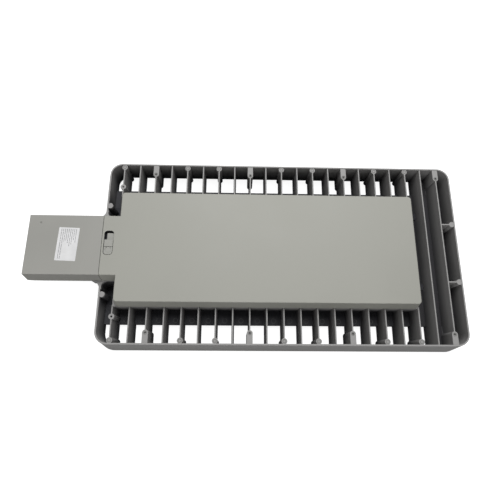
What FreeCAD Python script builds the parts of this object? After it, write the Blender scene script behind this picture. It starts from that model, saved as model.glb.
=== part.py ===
import FreeCAD, Part
import os
import re
import Sketcher
from FreeCAD import Vector

# Street light head: a die-cast LED head with a straight arm.
# The origin is the middle of the arm's end face, which bolts to the pole.
# X runs from the pole along the head, Z up through the driver cover.
# Z = 0 is the top plane of the casting: rim, fins and box walls all end there.
# The LEDs face down and the head rests on the bottom of its rim.

ORIGIN = -1
START = 1
END = 2
CENTRE = 3
SAME_PLACE = 1e-6

doc = FreeCAD.newDocument("street_light_head")
sheet = doc.addObject("Spreadsheet::Sheet", "Sizes")
pieces = []
volumes = {}

# Sizes that can each be set by itself, in millimetres and degrees
DRIVING_SIZES = (
    ("arm_reach", "113", "arm's end face to the rim"),
    ("arm_waist_width", "106.8", "arm and neck, at the casting's top plane"),
    ("arm_keel_width", "99", "arm and stub, across the underside"),
    ("arm_keel_depth", "22", "top plane to the arm's underside"),
    ("arm_end_wall", "7", "arm's wall against the pole"),
    ("arm_skin", "3", "arm's top and side walls"),
    ("arm_bolt_spacing", "64", "between the two pole bolts"),
    ("arm_bolt_radius", "4.5", "pole bolt's hole"),
    ("arm_wire_radius", "11", "supply cable's hole in the end wall"),
    ("stub_reach", "13.5", "the stub's reach out of the rim"),
    ("seam_reach", "3.6", "rim to the seam between arm and cover"),
    ("seam_gap", "0.7", "width of that seam"),
    ("rim_width", "304.5", "across the rim's top, outside"),
    ("rim_depth", "50", "top plane to the rim's bottom"),
    ("rim_edge", "2.2", "rim's thickness at its top"),
    ("rim_flare", "6.6", "how far each side leans out at the bottom"),
    ("rim_core", "24", "height of the hollow between the rim's legs"),
    ("rim_leg", "2.6", "thickness of the rim's two legs"),
    ("rim_corner", "20", "rim's corner radius at the top"),
    ("fin_pitch", "27", "fin to fin"),
    ("fin_count", "21", "fins along the head"),
    ("fin_margin", "23.5", "rim's end to the outermost fins"),
    ("fin_drop", "0.5", "top plane down to the tops of fins and bosses"),
    ("fin_edge", "1.9", "fin's thickness at its top"),
    ("fin_depth", "47", "top plane to the fin's bottom"),
    ("draft", "1.5", "draft of the castings, degrees"),
    ("floor_width", "236", "floor plate, across"),
    ("floor_depth", "38", "top plane to the floor"),
    ("floor_thickness", "4", "floor plate"),
    ("lip_wall", "3", "lip around the LED recess"),
    ("box_width", "188", "driver box, across the outside"),
    ("box_wall", "8", "driver box walls"),
    ("box_fins", "18", "fin pitches that the box is long"),
    ("box_corner", "4", "corner radius inside the box"),
    ("web_corner", "11", "inner radius between rim and neck"),
    ("channel_radius", "9", "cable channel through the stub"),
    ("channel_drop", "11", "top plane to the channel and the arm's bolts"),
    ("arm_bolt_inner", "20", "centre line to the arm's inner bolts"),
    ("arm_bolt_outer", "33", "centre line to the arm's outer bolts"),
    ("arm_bolt_shank", "2.5", "arm's own bolts, shank radius"),
    ("arm_bolt_head", "4.5", "arm's own bolts, head radius"),
    ("arm_bolt_length", "26", "arm's own bolts, shank length"),
    ("arm_seal", "1", "gasket between arm and stub"),
    ("arm_inner_wall", "7", "arm's wall against the stub"),
    ("arm_cavity", "84", "cable space in the arm, across"),
    ("arm_cavity_corner", "4", "cable space's corner radius"),
    ("arm_plate", "2", "plate that closes the arm from below"),
    ("arm_plate_edge", "4", "how far the plate laps over the cavity's edge"),
    ("arm_screw_first", "30", "arm's end face to the plate's first screws"),
    ("arm_screw_last", "72", "arm's end face to the plate's last screws"),
    ("arm_screw_side", "36", "centre line to the plate's screws"),
    ("arm_mark_radius", "1.6", "small round mark on the arm's top"),
    ("arm_mark_depth", "1", "small round mark on the arm's top"),
    ("arm_mark_place", "18.4", "arm's end face to the mark"),
    ("arm_mark_side", "35.5", "centre line to the mark"),
    ("bushing_bore", "4.5", "cable bushing's bore, radius"),
    ("bushing_flange", "14", "cable bushing's flange, radius"),
    ("boss_radius", "4.6", "ejector bosses at the rim"),
    ("boss_depth", "49", "top plane to the feet of the bosses at the rim"),
    ("boss_inset", "4", "boss centre to the rim's inner face"),
    ("long_boss_reach", "16", "long boss, rim's inner face to its end's centre"),
    ("long_boss_hole", "1.5", "hole at the long bosses' ends, radius"),
    ("long_boss_hole_depth", "4", "hole at the long bosses' ends"),
    ("guard_boss_place", "109.8", "centre line to the screw bosses on the first fin"),
    ("guard_hole", "1.6", "hole in those bosses, radius"),
    ("end_boss_inset", "5", "rim's end to the bosses on its end walls"),
    ("front_boss_place", "75", "centre line to the front wall's bosses"),
    ("back_boss_place", "49.6", "centre line to the back wall's bosses"),
    ("cover_rise", "21.8", "top plane to the cover's top"),
    ("cover_flare", "4.9", "how far the cover's skirt leans out"),
    ("cover_skin", "2.2", "cover's top and skirt"),
    ("cover_gap", "0.5", "cover's skirt above the top plane"),
    ("front_skirt", "3.2", "cover's wall across the neck's front"),
    ("cover_overhang", "0.4", "skirt past the box's side walls"),
    ("cover_inset_front", "1.6", "skirt behind the box's front"),
    ("cover_overhang_back", "1.7", "skirt past the box's back"),
    ("cover_corner", "5", "cover's corner radius"),
    ("cover_round", "1", "rounding of the cover's top edge"),
    ("cover_ear_rise", "6", "top plane to the tops of the hinge ears"),
    ("seal_width", "2.6", "gasket"),
    ("seal_inset", "2", "cover's cavity to the gasket"),
    ("seal_groove", "2", "depth of the gasket's groove"),
    ("seal_gap", "0.3", "gasket to the cover's skirt"),
    ("fit_gap", "0.3", "clearance between seated pieces"),
    ("hinge_drop", "4.5", "top plane to the hinge axis"),
    ("hinge_reach", "4.5", "box's back to the hinge axis"),
    ("hinge_barrel", "4", "radius of the hinge's ears and lugs"),
    ("hinge_pin_radius", "1.95", "hinge pin"),
    ("hinge_bore_radius", "2", "hinge pin's hole"),
    ("hinge_offset", "60", "middle of the head to each hinge"),
    ("hinge_ear", "10", "width of the cover's ears"),
    ("hinge_lug", "6", "width of the housing's lugs"),
    ("hinge_side_gap", "0.4", "between an ear and its lugs"),
    ("slot_width", "15", "latch slot in the neck, along X"),
    ("slot_length", "39.6", "latch slot, along Y"),
    ("slot_shift", "3.6", "latch slot's middle off the centre line"),
    ("slot_margin", "3", "neck's front to the latch slot"),
    ("slot_corner", "5", "latch slot's corner radius"),
    ("latch_gap", "0.7", "latch pad to the slot's sides"),
    ("latch_pad", "24.4", "latch pad, along Y"),
    ("latch_travel", "8", "latch's slide along Y"),
    ("latch_drop", "0.5", "latch pad's face below the cover's"),
    ("latch_flange", "3.8", "thickness of the latch's flange"),
    ("latch_overlap", "2.7", "flange past the slot's edges"),
    ("latch_tongue", "11.4", "length of the latch's tongue"),
    ("latch_tongue_height", "3", "thickness of the latch's tongue"),
    ("latch_dimple", "5", "finger dimple in the pad, radius"),
    ("latch_dimple_depth", "0.7", "finger dimple in the pad"),
    ("latch_line", "0.8", "groove across the pad, width and depth"),
    ("latch_leg", "6", "latch's leg, along X"),
    ("latch_leg_width", "8", "latch's leg, along Y"),
    ("latch_leg_gap", "2.4", "latch's leg behind the front wall"),
    ("latch_foot_drop", "9", "top plane to the foot's underside"),
    ("latch_foot_height", "4", "latch's foot"),
    ("latch_foot_reach", "22", "centre line to the foot's tip"),
    ("guide_thickness", "2", "plate that holds the latch"),
    ("guide_boss", "4", "radius of the bosses for that plate"),
    ("guide_reach", "6.6", "flange's ends to those bosses"),
    ("keeper_thickness", "2", "keeper's sheet"),
    ("keeper_gap", "2", "foot's tip to the keeper"),
    ("keeper_width", "13.4", "keeper, along X"),
    ("keeper_base", "16", "keeper's foot, along Y"),
    ("keeper_drop", "22", "top plane to the keeper's seat"),
    ("keeper_top", "2", "top plane to the keeper's top edge"),
    ("keeper_window", "1", "clearance around the foot in its window"),
    ("small_screw", "1.5", "small screws, shank radius"),
    ("small_head", "2.9", "small screws, head radius"),
    ("head_height", "2.2", "screw heads"),
    ("lens_head_height", "2.2", "lens screws' heads"),
    ("lens_length", "138", "lens tray, along the head"),
    ("lens_width", "210", "lens tray, across the head"),
    ("lens_pitch", "144", "lens tray to lens tray"),
    ("lens_count", "4", "lens trays"),
    ("lens_border", "8", "lens tray's border for its screws"),
    ("lens_depth", "3.7", "lens tray, from its seat to its face"),
    ("lens_skin", "1.8", "lens tray's face"),
    ("lens_seat", "0.2", "lens tray below the floor"),
    ("lens_corner", "6", "lens tray's corner radius"),
    ("dome_radius", "14", "one lens dome"),
    ("dome_height", "3.6", "one lens dome"),
    ("dome_lean", "50", "slope of a dome's side, degrees"),
    ("dome_pitch_along", "36", "dome to dome along the head"),
    ("dome_pitch_across", "46", "dome to dome across the head"),
    ("dome_columns", "3", "domes along the head"),
    ("dome_rows", "4", "domes across the head"),
    ("board_thickness", "1.6", "LED board"),
    ("board_length", "114", "LED board, along the head"),
    ("board_width", "186", "LED board, across the head"),
    ("chip_side", "7", "LED chip"),
    ("chip_height", "0.2", "LED chip above its board"),
    ("lens_seal_width", "3", "lens gasket"),
    ("lens_seal_depth", "1", "groove for the lens gasket"),
    ("lens_seal_inset", "1", "board's edge to the lens gasket"),
    ("lens_screw_radius", "1.9", "lens screw's shank"),
    ("lens_screw_head", "3.6", "lens screw's head"),
    ("lens_screw_reach", "6.2", "lens screw's shank past the tray's face"),
    ("screw_gap", "0.1", "clearance around a screw's shank"),
    ("driver_length", "240", "LED driver's case"),
    ("driver_width", "70", "LED driver's case"),
    ("driver_height", "38", "LED driver's case"),
    ("driver_flange", "12", "mounting ear at each end of the driver"),
    ("driver_place", "445", "arm's end face to the driver's middle"),
    ("ear_thickness", "3", "mounting ears of the equipment"),
    ("pad_height", "4", "cast pads that the equipment stands on"),
    ("surge_length", "56", "surge protector"),
    ("surge_width", "38", "surge protector"),
    ("surge_height", "28", "surge protector"),
    ("surge_place", "230", "arm's end face to the surge protector"),
    ("surge_shift", "-45", "surge protector off the centre line"),
    ("block_length", "30", "terminal block"),
    ("block_width", "52", "terminal block"),
    ("block_height", "22", "terminal block"),
    ("block_place", "190", "arm's end face to the terminal block"),
    ("block_shift", "40", "terminal block off the centre line"),
    ("lead_radius", "3", "lead from driver to LED boards"),
    ("lead_drop", "16", "top plane to the leads' centre line"),
    ("lead_bend", "10", "bend radius of the leads"),
    ("wire_radius", "1.5", "wires from terminal block to driver"),
    ("wire_spacing", "4", "wire to wire"),
    ("wire_turn", "285", "arm's end face to where the wires cross over"),
    ("wire_end", "10", "centre line to the wires at the driver"),
    ("grommet_flange", "9", "lead grommet's flange, radius"),
    ("grommet_height", "1.5", "lead grommet's flange"),
    ("grommet_bore", "3.4", "lead grommet's bore, radius"),
    ("lead_hole", "6", "hole in the floor for the LED lead"),
    ("lead_place", "598", "arm's end face to that hole"),
    ("mount_pad", "6", "radius of the equipment's cast pads"),
    ("mount_screw", "1.9", "equipment screw's shank"),
    ("mount_thread", "3.5", "depth of the equipment screws' holes"),
    ("vent_radius", "5.5", "vent plug's thread"),
    ("vent_drop", "22", "top plane to the vent plug"),
    ("vent_head", "8", "vent plug's head, radius"),
    ("vent_head_height", "4", "vent plug's head"),
    ("label_length", "54.5", "label on the arm"),
    ("label_width", "32.3", "label on the arm"),
    ("label_place", "63.7", "arm's end face to the label's middle"),
    ("label_side", "0.5", "label's middle off the centre line"),
    ("label_skew", "-1.8", "label stuck on a little askew, degrees"),
    ("label_film", "0.2", "label's thickness"),
)

# Sizes and places that follow from the driving ones
FOLLOWING_SIZES = (
    ("rim_end", "=arm_reach + 2 * fin_margin + (fin_count - 1) * fin_pitch"),
    ("rim_half", "=rim_width / 2"),
    ("rim_lean", "=atan(rim_flare / rim_depth)"),
    ("inner_start", "=arm_reach + rim_edge"),
    ("inner_end", "=rim_end - rim_edge"),
    ("inner_half", "=rim_half - rim_edge"),
    ("first_fin", "=arm_reach + fin_margin"),
    ("floor_half", "=floor_width / 2"),
    ("box_start", "=first_fin"),
    ("last_fin", "=first_fin + (fin_count - 1) * fin_pitch"),
    ("box_end", "=first_fin + box_fins * fin_pitch"),
    ("box_half", "=box_width / 2"),
    ("waist_half", "=arm_waist_width / 2"),
    ("top_half", "=waist_half - cover_flare"),
    ("keel_half", "=arm_keel_width / 2"),
    ("stub_front", "=arm_reach - stub_reach"),
    ("seam", "=arm_reach + seam_reach"),
    ("front_wall", "=seam + box_wall"),
    ("cover_front", "=seam + seam_gap"),
    ("cover_start", "=box_start + cover_inset_front + cover_flare"),
    ("cover_end", "=box_end + cover_overhang_back - cover_flare"),
    ("cover_half", "=box_half + cover_overhang - cover_flare"),
    ("cover_drop", "=cover_rise - cover_gap"),
    ("cover_lean", "=atan(cover_flare / cover_drop)"),
    ("cavity_front", "=cover_front + front_skirt"),
    ("cavity_neck", "=top_half - cover_skin"),
    ("cavity_start", "=cover_start + cover_skin"),
    ("cavity_end", "=cover_end - cover_skin"),
    ("cavity_half", "=cover_half - cover_skin"),
    ("ceiling", "=cover_rise - cover_skin"),
    ("hinge_axis", "=box_end + hinge_reach"),
    ("slot_start", "=cover_front + slot_margin"),
    ("slot_end", "=slot_start + slot_width"),
    ("slot_top", "=slot_shift + slot_length / 2"),
    ("slot_bottom", "=slot_shift - slot_length / 2"),
    ("recess_depth", "=floor_depth + floor_thickness"),
    ("recess_half", "=floor_half - lip_wall"),
    ("recess_start", "=inner_start + lip_wall"),
    ("recess_end", "=inner_end - lip_wall"),
    ("lens_row", "=lens_pitch * (lens_count - 1)"),
    ("lens_first", "=(recess_start + recess_end - lens_row) / 2"),
    ("pad_top", "=floor_depth - pad_height"),
    ("seal_front", "=cover_front + fit_gap"),
    ("seal_neck", "=cavity_neck + seal_inset"),
    ("seal_start", "=cavity_start - seal_inset"),
    ("seal_half", "=cavity_half + seal_inset"),
    ("seal_end", "=cavity_end + seal_inset"),
    ("driver_screw_reach", "=(driver_length + driver_flange) / 2"),
    ("driver_screw_side", "=driver_width / 2 - driver_flange"),
    ("pad_start", "=slot_bottom + latch_gap"),
    ("pad_end", "=pad_start + latch_pad"),
    ("latch_top", "=ceiling - fit_gap"),
    ("latch_low", "=latch_top - latch_flange"),
    ("flange_start", "=slot_bottom - latch_travel - latch_overlap"),
    ("leg_start", "=front_wall + latch_leg_gap"),
    ("leg_middle", "=leg_start + latch_leg / 2"),
    ("guide_top", "=latch_low - fit_gap"),
    ("guide_low_screw", "=flange_start - guide_reach"),
    ("guide_high_screw", "=pad_end + latch_tongue + latch_travel + guide_reach + 3"),
    ("keeper_place", "=latch_foot_reach + keeper_gap"),
    ("keeper_start", "=front_wall + 1"),
    ("keeper_screw", "=keeper_place + keeper_thickness + keeper_base / 2"),
    ("arm_end", "=stub_front - arm_seal"),
    ("arm_cavity_end", "=arm_end - arm_inner_wall"),
    ("arm_cavity_half", "=arm_cavity / 2"),
    ("tray_skirt", "=lens_depth - lens_skin"),
    ("lens_screw_along", "=(lens_length - lens_border) / 2"),
    ("lens_screw_across", "=(lens_width - lens_border) / 2"),
    ("seal_along", "=board_length / 2 + lens_seal_inset"),
    ("seal_across", "=board_width / 2 + lens_seal_inset"),
)


def fill_sheet():
    """Writes both lists of sizes into the sheet, one named cell in each row."""
    rows = [(name, number, note) for name, number, note in DRIVING_SIZES]
    rows += [(name, formula, "") for name, formula in FOLLOWING_SIZES]
    for row, (name, content, note) in enumerate(rows, start=1):
        sheet.set(f"A{row}", note)
        sheet.set(f"B{row}", content)
        sheet.setAlias(f"B{row}", name)
    doc.recompute()


def cells(expression):
    """The expression with each size name pointing at its cell in the sheet."""
    return re.sub(r"\b[a-z_]+\b(?!\()", lambda name: "Sizes." + name.group(0), str(expression))


def value(expression):
    """The expression's present value as a plain number."""
    result = sheet.evalExpression(cells(expression))
    return float(getattr(result, "Value", result))


def new_body(label):
    """An empty body, which becomes the piece of that name."""
    body = doc.addObject("PartDesign::Body", label)
    body.Label = label
    pieces.append(body)
    return body


def new_sketch(body, plane, offset="0"):
    """A sketch on one of the body's own planes, moved along that plane's normal."""
    sketch = body.newObject("Sketcher::SketchObject", "sketch")
    support = [face for face in body.Origin.OriginFeatures if face.Role == plane][0]
    sketch.AttachmentSupport = [(support, "")]
    sketch.MapMode = "FlatFace"
    sketch.setExpression("AttachmentOffset.Base.z", cells(offset))
    doc.recompute()
    return sketch


def fix(sketch, kind, geometry, point, expression):
    """Ties one coordinate of a point to an expression, measured from the sketch's origin."""
    number = value(expression)
    row = sketch.addConstraint(
        Sketcher.Constraint(kind, ORIGIN, START, geometry, point, number))
    sketch.setExpression(f"Constraints[{row}]", cells(expression))


def circle(sketch, x, y, radius):
    """A circle at a place and of a radius from the sheet."""
    middle = Vector(value(x), value(y), 0)
    ring = sketch.addGeometry(Part.Circle(middle, Vector(0, 0, 1), value(radius)))
    fix(sketch, "DistanceX", ring, CENTRE, x)
    fix(sketch, "DistanceY", ring, CENTRE, y)
    row = sketch.addConstraint(Sketcher.Constraint("Radius", ring, value(radius)))
    sketch.setExpression(f"Constraints[{row}]", cells(radius))


def polygon(sketch, corners):
    """A closed outline of straight sides through corners that are each tied in X and Y."""
    points = [Vector(value(x), value(y), 0) for x, y in corners]
    sides = []
    for here, ahead in zip(points, points[1:] + points[:1]):
        sides.append(sketch.addGeometry(Part.LineSegment(here, ahead)))
    for side, after in zip(sides, sides[1:] + sides[:1]):
        sketch.addConstraint(Sketcher.Constraint("Coincident", side, END, after, START))
    for side, (x, y) in zip(sides, corners):
        fix(sketch, "DistanceX", side, START, x)
        fix(sketch, "DistanceY", side, START, y)


def outline(sketch, corners):
    """A closed outline of level and upright sides, counter-clockwise.

    Each corner is (x, y, radius), and a radius of None keeps it sharp. Every side
    is tied at its own height or distance, and arcs are tangent to both their sides.
    """
    points = [Vector(value(x), value(y), 0) for x, y, _ in corners]
    bends = [value(radius) if radius else 0.0 for _, _, radius in corners]
    count = len(points)
    ways = [(points[(i + 1) % count] - points[i]).normalize() for i in range(count)]
    sides = []
    for i in range(count):
        after = (i + 1) % count
        start = points[i] + ways[i] * bends[i]
        end = points[after] - ways[i] * bends[after]
        side = sketch.addGeometry(Part.LineSegment(start, end))
        level = abs(ways[i].y) < SAME_PLACE
        sketch.addConstraint(Sketcher.Constraint("Horizontal" if level else "Vertical", side))
        if level:
            fix(sketch, "DistanceY", side, START, corners[i][1])
        else:
            fix(sketch, "DistanceX", side, START, corners[i][0])
        sides.append(side)
    for i in range(count):
        before = i - 1
        if not corners[i][2]:
            sketch.addConstraint(
                Sketcher.Constraint("Coincident", sides[before], END, sides[i], START))
            continue
        bend_corner(sketch, points[i], ways[before], ways[i], sides[before], sides[i],
                    corners[i][2])


def bend_corner(sketch, corner, way_in, way_out, side_in, side_out, radius):
    """An arc from one side to the next, tangent to both, at an outline's corner."""
    bend = value(radius)
    first = corner - way_in * bend
    last = corner + way_out * bend
    middle = first + way_out * bend
    turns_left = way_in.cross(way_out).z > 0
    if not turns_left:
        first, last = last, first
    angle_first = Vector(1, 0, 0).getAngle(first - middle)
    angle_last = Vector(1, 0, 0).getAngle(last - middle)
    if (first - middle).y < 0:
        angle_first = -angle_first
    if (last - middle).y < 0:
        angle_last = -angle_last
    ring = Part.Circle(middle, Vector(0, 0, 1), bend)
    arc = sketch.addGeometry(Part.ArcOfCircle(ring, angle_first, angle_last))
    near, far = (START, END) if turns_left else (END, START)
    sketch.addConstraint(Sketcher.Constraint("Tangent", side_in, END, arc, near))
    sketch.addConstraint(Sketcher.Constraint("Tangent", arc, far, side_out, START))
    row = sketch.addConstraint(Sketcher.Constraint("Radius", arc, bend))
    sketch.setExpression(f"Constraints[{row}]", cells(radius))


def rectangle(sketch, left, right, bottom, top, radius=None):
    """A rectangle, with one corner radius or sharp corners."""
    outline(sketch, (
        (left, bottom, radius),
        (right, bottom, radius),
        (right, top, radius),
        (left, top, radius),
    ))


def settle(body, feature, grows):
    """Rebuilds the body and makes sure that its new feature added or cut something."""
    doc.recompute()
    before = volumes.get(body.Name, 0.0)
    after = body.Shape.Volume
    if (after - before > SAME_PLACE) != grows or abs(after - before) < SAME_PLACE:
        raise RuntimeError(f"{body.Label}: {feature.Label} left the volume at {after}")
    volumes[body.Name] = after
    return feature


def extrude(body, kind, name, sketch, length, turned, taper):
    """A pad or a pocket along the sketch's normal, or against it when turned."""
    feature = body.newObject(f"PartDesign::{kind}", name)
    feature.Profile = sketch
    feature.setExpression("Length", cells(length))
    feature.Reversed = turned
    if taper:
        feature.setExpression("TaperAngle", cells(taper))
    return settle(body, feature, kind == "Pad")


def pad(body, name, sketch, length, turned=False, taper=None):
    """Adds the sketch's outlines as a prism."""
    return extrude(body, "Pad", name, sketch, length, turned, taper)


def pocket(body, name, sketch, length, turned=False, taper=None):
    """Cuts the sketch's outlines as a prism. A pocket runs against the normal."""
    return extrude(body, "Pocket", name, sketch, length, turned, taper)


def row_of(body, name, feature, sketch, axis, spacing, count):
    """Repeats a feature along one of its sketch's axes."""
    pattern = body.newObject("PartDesign::LinearPattern", name)
    pattern.Originals = [feature]
    pattern.Direction = (sketch, [axis])
    pattern.Mode = "Spacing"
    pattern.setExpression("Offset", cells(spacing))
    pattern.setExpression("Occurrences", cells(count))
    body.Tip = pattern
    return settle(body, pattern, feature.TypeId != "PartDesign::Pocket")


fill_sheet()


def rim_corners(inset, radius):
    """The rim's plan, moved in by an inset, with its corners rounded."""
    return (
        (f"arm_reach + {inset}", f"-rim_half + {inset}", radius),
        (f"rim_end - {inset}", f"-rim_half + {inset}", radius),
        (f"rim_end - {inset}", f"rim_half - {inset}", radius),
        (f"arm_reach + {inset}", f"rim_half - {inset}", radius),
    )


def t_corners(front, neck, start, half, end, outer=None, inner=None):
    """A T in plan: a neck at the front and the long box behind it."""
    return (
        (front, f"-({neck})", None),
        (start, f"-({neck})", inner),
        (start, f"-({half})", outer),
        (end, f"-({half})", outer),
        (end, half, outer),
        (start, half, outer),
        (start, neck, inner),
        (front, neck, None),
    )


# Housing: one aluminium die casting that is heat sink, frame and driver box

def cast_rim(body):
    """The leaning outer wall, cored from below so that it has two thin legs."""
    plan = new_sketch(body, "XY_Plane")
    outline(plan, rim_corners("0", "rim_corner"))
    pad(body, "rim_block", plan, "rim_depth", turned=True, taper="rim_lean")
    foot = new_sketch(body, "XY_Plane", "-rim_depth")
    outline(foot, rim_corners("rim_leg - rim_flare", "rim_corner + rim_flare - rim_leg"))
    pocket(body, "rim_hollow", foot, "rim_core", turned=True, taper="-rim_lean")
    leg = new_sketch(body, "XY_Plane")
    outline(leg, rim_corners("rim_edge - rim_leg", "rim_corner - rim_edge + rim_leg"))
    pad(body, "inner_leg", leg, "rim_depth", turned=True)
    well = new_sketch(body, "XY_Plane")
    outline(well, rim_corners("rim_edge", "rim_corner - rim_edge"))
    pocket(body, "well", well, "rim_depth")


def cast_floor(body):
    """The plate that carries the LED boards, with a lip round their recess."""
    plan = new_sketch(body, "XY_Plane", "-floor_depth")
    rectangle(plan, "inner_start - rim_leg / 2", "inner_end + rim_leg / 2",
              "-floor_half", "floor_half")
    pad(body, "floor", plan, "fin_depth - floor_depth", turned=True)


def cast_box(body):
    """The driver box and its neck, and the stub that the arm is bolted to."""
    plan = new_sketch(body, "XY_Plane")
    outline(plan, t_corners("arm_reach + rim_edge / 2", "waist_half", "box_start",
                            "box_half", "box_end"))
    pad(body, "box_block", plan, "floor_depth + floor_thickness / 2", turned=True)
    section = new_sketch(body, "YZ_Plane", "stub_front")
    polygon(section, (
        ("-waist_half", "0"),
        ("-keel_half", "-arm_keel_depth"),
        ("keel_half", "-arm_keel_depth"),
        ("waist_half", "0"),
    ))
    pad(body, "stub", section, "front_wall - stub_front")
    for side, name in (("-", "near_web"), ("", "far_web")):
        web = new_sketch(body, "XY_Plane")
        hollow_corner(web, side, "arm_reach", "waist_half", "-stub_reach", "arm_skin")
        pad(body, name, web, "arm_keel_depth", turned=True)
        inside = new_sketch(body, "XY_Plane")
        hollow_corner(inside, side, "inner_start", "waist_half", "web_corner", "rim_edge / 2")
        pad(body, name + "_inside", inside, "floor_depth + floor_thickness / 2", turned=True)


def hollow_corner(sketch, side, wall, flank, radius, root):
    """A filling between a cross wall and a flank, hollowed by a quarter circle.

    The radius is negative where the filling lies in front of the wall, towards the
    pole. The filling is rooted a little way inside both the wall and the flank.
    """
    reach = value(radius)
    size = radius.strip("-")
    back = f"{wall} - {root}" if reach > 0 else f"{wall} + {root}"
    points = [
        (f"{wall} + {radius}", f"{side}({flank})"),
        (f"{wall} + {radius}", f"{side}({flank} - {root})"),
        (back, f"{side}({flank} - {root})"),
        (back, f"{side}({flank} + {size})"),
        (wall, f"{side}({flank} + {size})"),
    ]
    places = [Vector(value(x), value(y), 0) for x, y in points]
    middle = Vector(places[0].x, places[-1].y, 0)
    quarter = FreeCAD.Units.Quantity("90 deg").getValueAs("rad").Value
    faces_back = reach > 0
    low = {("", False): 3, ("", True): 2, ("-", False): 0, ("-", True): 1}[side, faces_back]
    ring = Part.Circle(middle, Vector(0, 0, 1), abs(reach))
    arc = sketch.addGeometry(Part.ArcOfCircle(ring, low * quarter, (low + 1) * quarter))
    at_flank, at_wall = (END, START) if low in (0, 2) else (START, END)
    sides = []
    for here, ahead in zip(places, places[1:]):
        sides.append(sketch.addGeometry(Part.LineSegment(here, ahead)))
    for here, ahead in zip(sides, sides[1:]):
        sketch.addConstraint(Sketcher.Constraint("Coincident", here, END, ahead, START))
    sketch.addConstraint(Sketcher.Constraint("Coincident", sides[-1], END, arc, at_wall))
    sketch.addConstraint(Sketcher.Constraint("Coincident", arc, at_flank, sides[0], START))
    for number, (x, y) in zip(sides, points):
        fix(sketch, "DistanceX", number, START, x)
        fix(sketch, "DistanceY", number, START, y)
    fix(sketch, "DistanceX", arc, at_wall, wall)
    fix(sketch, "DistanceY", arc, at_wall, points[-1][1])
    fix(sketch, "DistanceX", arc, CENTRE, points[0][0])


def tongue(sketch, centre, wall, half, upright=True):
    """An outline that is round about its centre and square where it meets a wall.

    It runs along the sketch's Y axis when upright, and otherwise along its X axis.
    """
    def place(along, across):
        return (across, along) if upright else (along, across)

    along, across = (centre[1], centre[0]) if upright else centre
    sign = 1 if value(wall) > value(along) else -1
    right = f"{across} + {half}" if upright == (sign > 0) else f"{across} - {half}"
    left = f"{across} - {half}" if upright == (sign > 0) else f"{across} + {half}"
    corners = [place(along, right), place(wall, right), place(wall, left), place(along, left)]
    points = [Vector(value(x), value(y), 0) for x, y in corners]
    middle = (points[0] + points[3]) / 2
    quarter = FreeCAD.Units.Quantity("90 deg").getValueAs("rad").Value
    turns = {(True, 1): 2, (True, -1): 0, (False, 1): 1, (False, -1): 3}[upright, sign]
    ring = Part.Circle(middle, Vector(0, 0, 1), value(half))
    arc = sketch.addGeometry(
        Part.ArcOfCircle(ring, turns * quarter, (turns + 2) * quarter))
    sides = []
    for here, ahead in zip(points, points[1:]):
        sides.append(sketch.addGeometry(Part.LineSegment(here, ahead)))
    for here, ahead in zip(sides, sides[1:]):
        sketch.addConstraint(Sketcher.Constraint("Coincident", here, END, ahead, START))
    sketch.addConstraint(Sketcher.Constraint("Coincident", arc, END, sides[0], START))
    sketch.addConstraint(Sketcher.Constraint("Coincident", sides[2], END, arc, START))
    for number, (x, y) in zip(sides, corners):
        fix(sketch, "DistanceX", number, START, x)
        fix(sketch, "DistanceY", number, START, y)
    fix(sketch, "DistanceX", arc, START, corners[3][0])
    fix(sketch, "DistanceY", arc, START, corners[3][1])
    if upright:
        fix(sketch, "DistanceY", arc, CENTRE, along)
    else:
        fix(sketch, "DistanceX", arc, CENTRE, along)


def cut_compartment(body):
    """The inside of box and neck, and the gasket's groove in the top of their walls."""
    inside = new_sketch(body, "XY_Plane")
    outline(inside, t_corners("front_wall", "waist_half - box_wall", "box_start + box_wall",
                              "box_half - box_wall", "box_end - box_wall", "box_corner"))
    pocket(body, "compartment", inside, "floor_depth")
    groove = new_sketch(body, "XY_Plane")
    seal_ring(groove)
    pocket(body, "seal_groove", groove, "seal_groove")


def seal_ring(sketch):
    """The gasket's plan: two T outlines, one gasket's width apart."""
    outline(sketch, t_corners("seal_front", "seal_neck + seal_width", "seal_start - seal_width",
                              "seal_half + seal_width", "seal_end + seal_width",
                              "cover_corner"))
    outline(sketch, t_corners("seal_front + seal_width", "seal_neck", "seal_start", "seal_half",
                              "seal_end", "cover_corner - seal_width"))


def bore_stub(body):
    """The cable channel from arm to box, and the tapped holes for the arm's bolts."""
    channel = new_sketch(body, "YZ_Plane", "stub_front")
    circle(channel, "0", "-channel_drop", "channel_radius")
    pocket(body, "cable_channel", channel, "front_wall - stub_front", turned=True)
    bolts = new_sketch(body, "YZ_Plane", "stub_front")
    for side in ("", "-"):
        for across in ("arm_bolt_inner", "arm_bolt_outer"):
            circle(bolts, f"{side}{across}", "-channel_drop", "arm_bolt_shank + screw_gap")
    pocket(body, "arm_bolt_holes", bolts, "front_wall - stub_front - rim_leg", turned=True)


def bore_first_fin(body):
    """A screw hole in each boss on the first fin, down through the fin itself."""
    holes = new_sketch(body, "XY_Plane", "-fin_drop")
    for side in ("", "-"):
        circle(holes, "first_fin", f"{side}guard_boss_place", "guard_hole")
    pocket(body, "guard_holes", holes, "floor_depth / 2")


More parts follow.
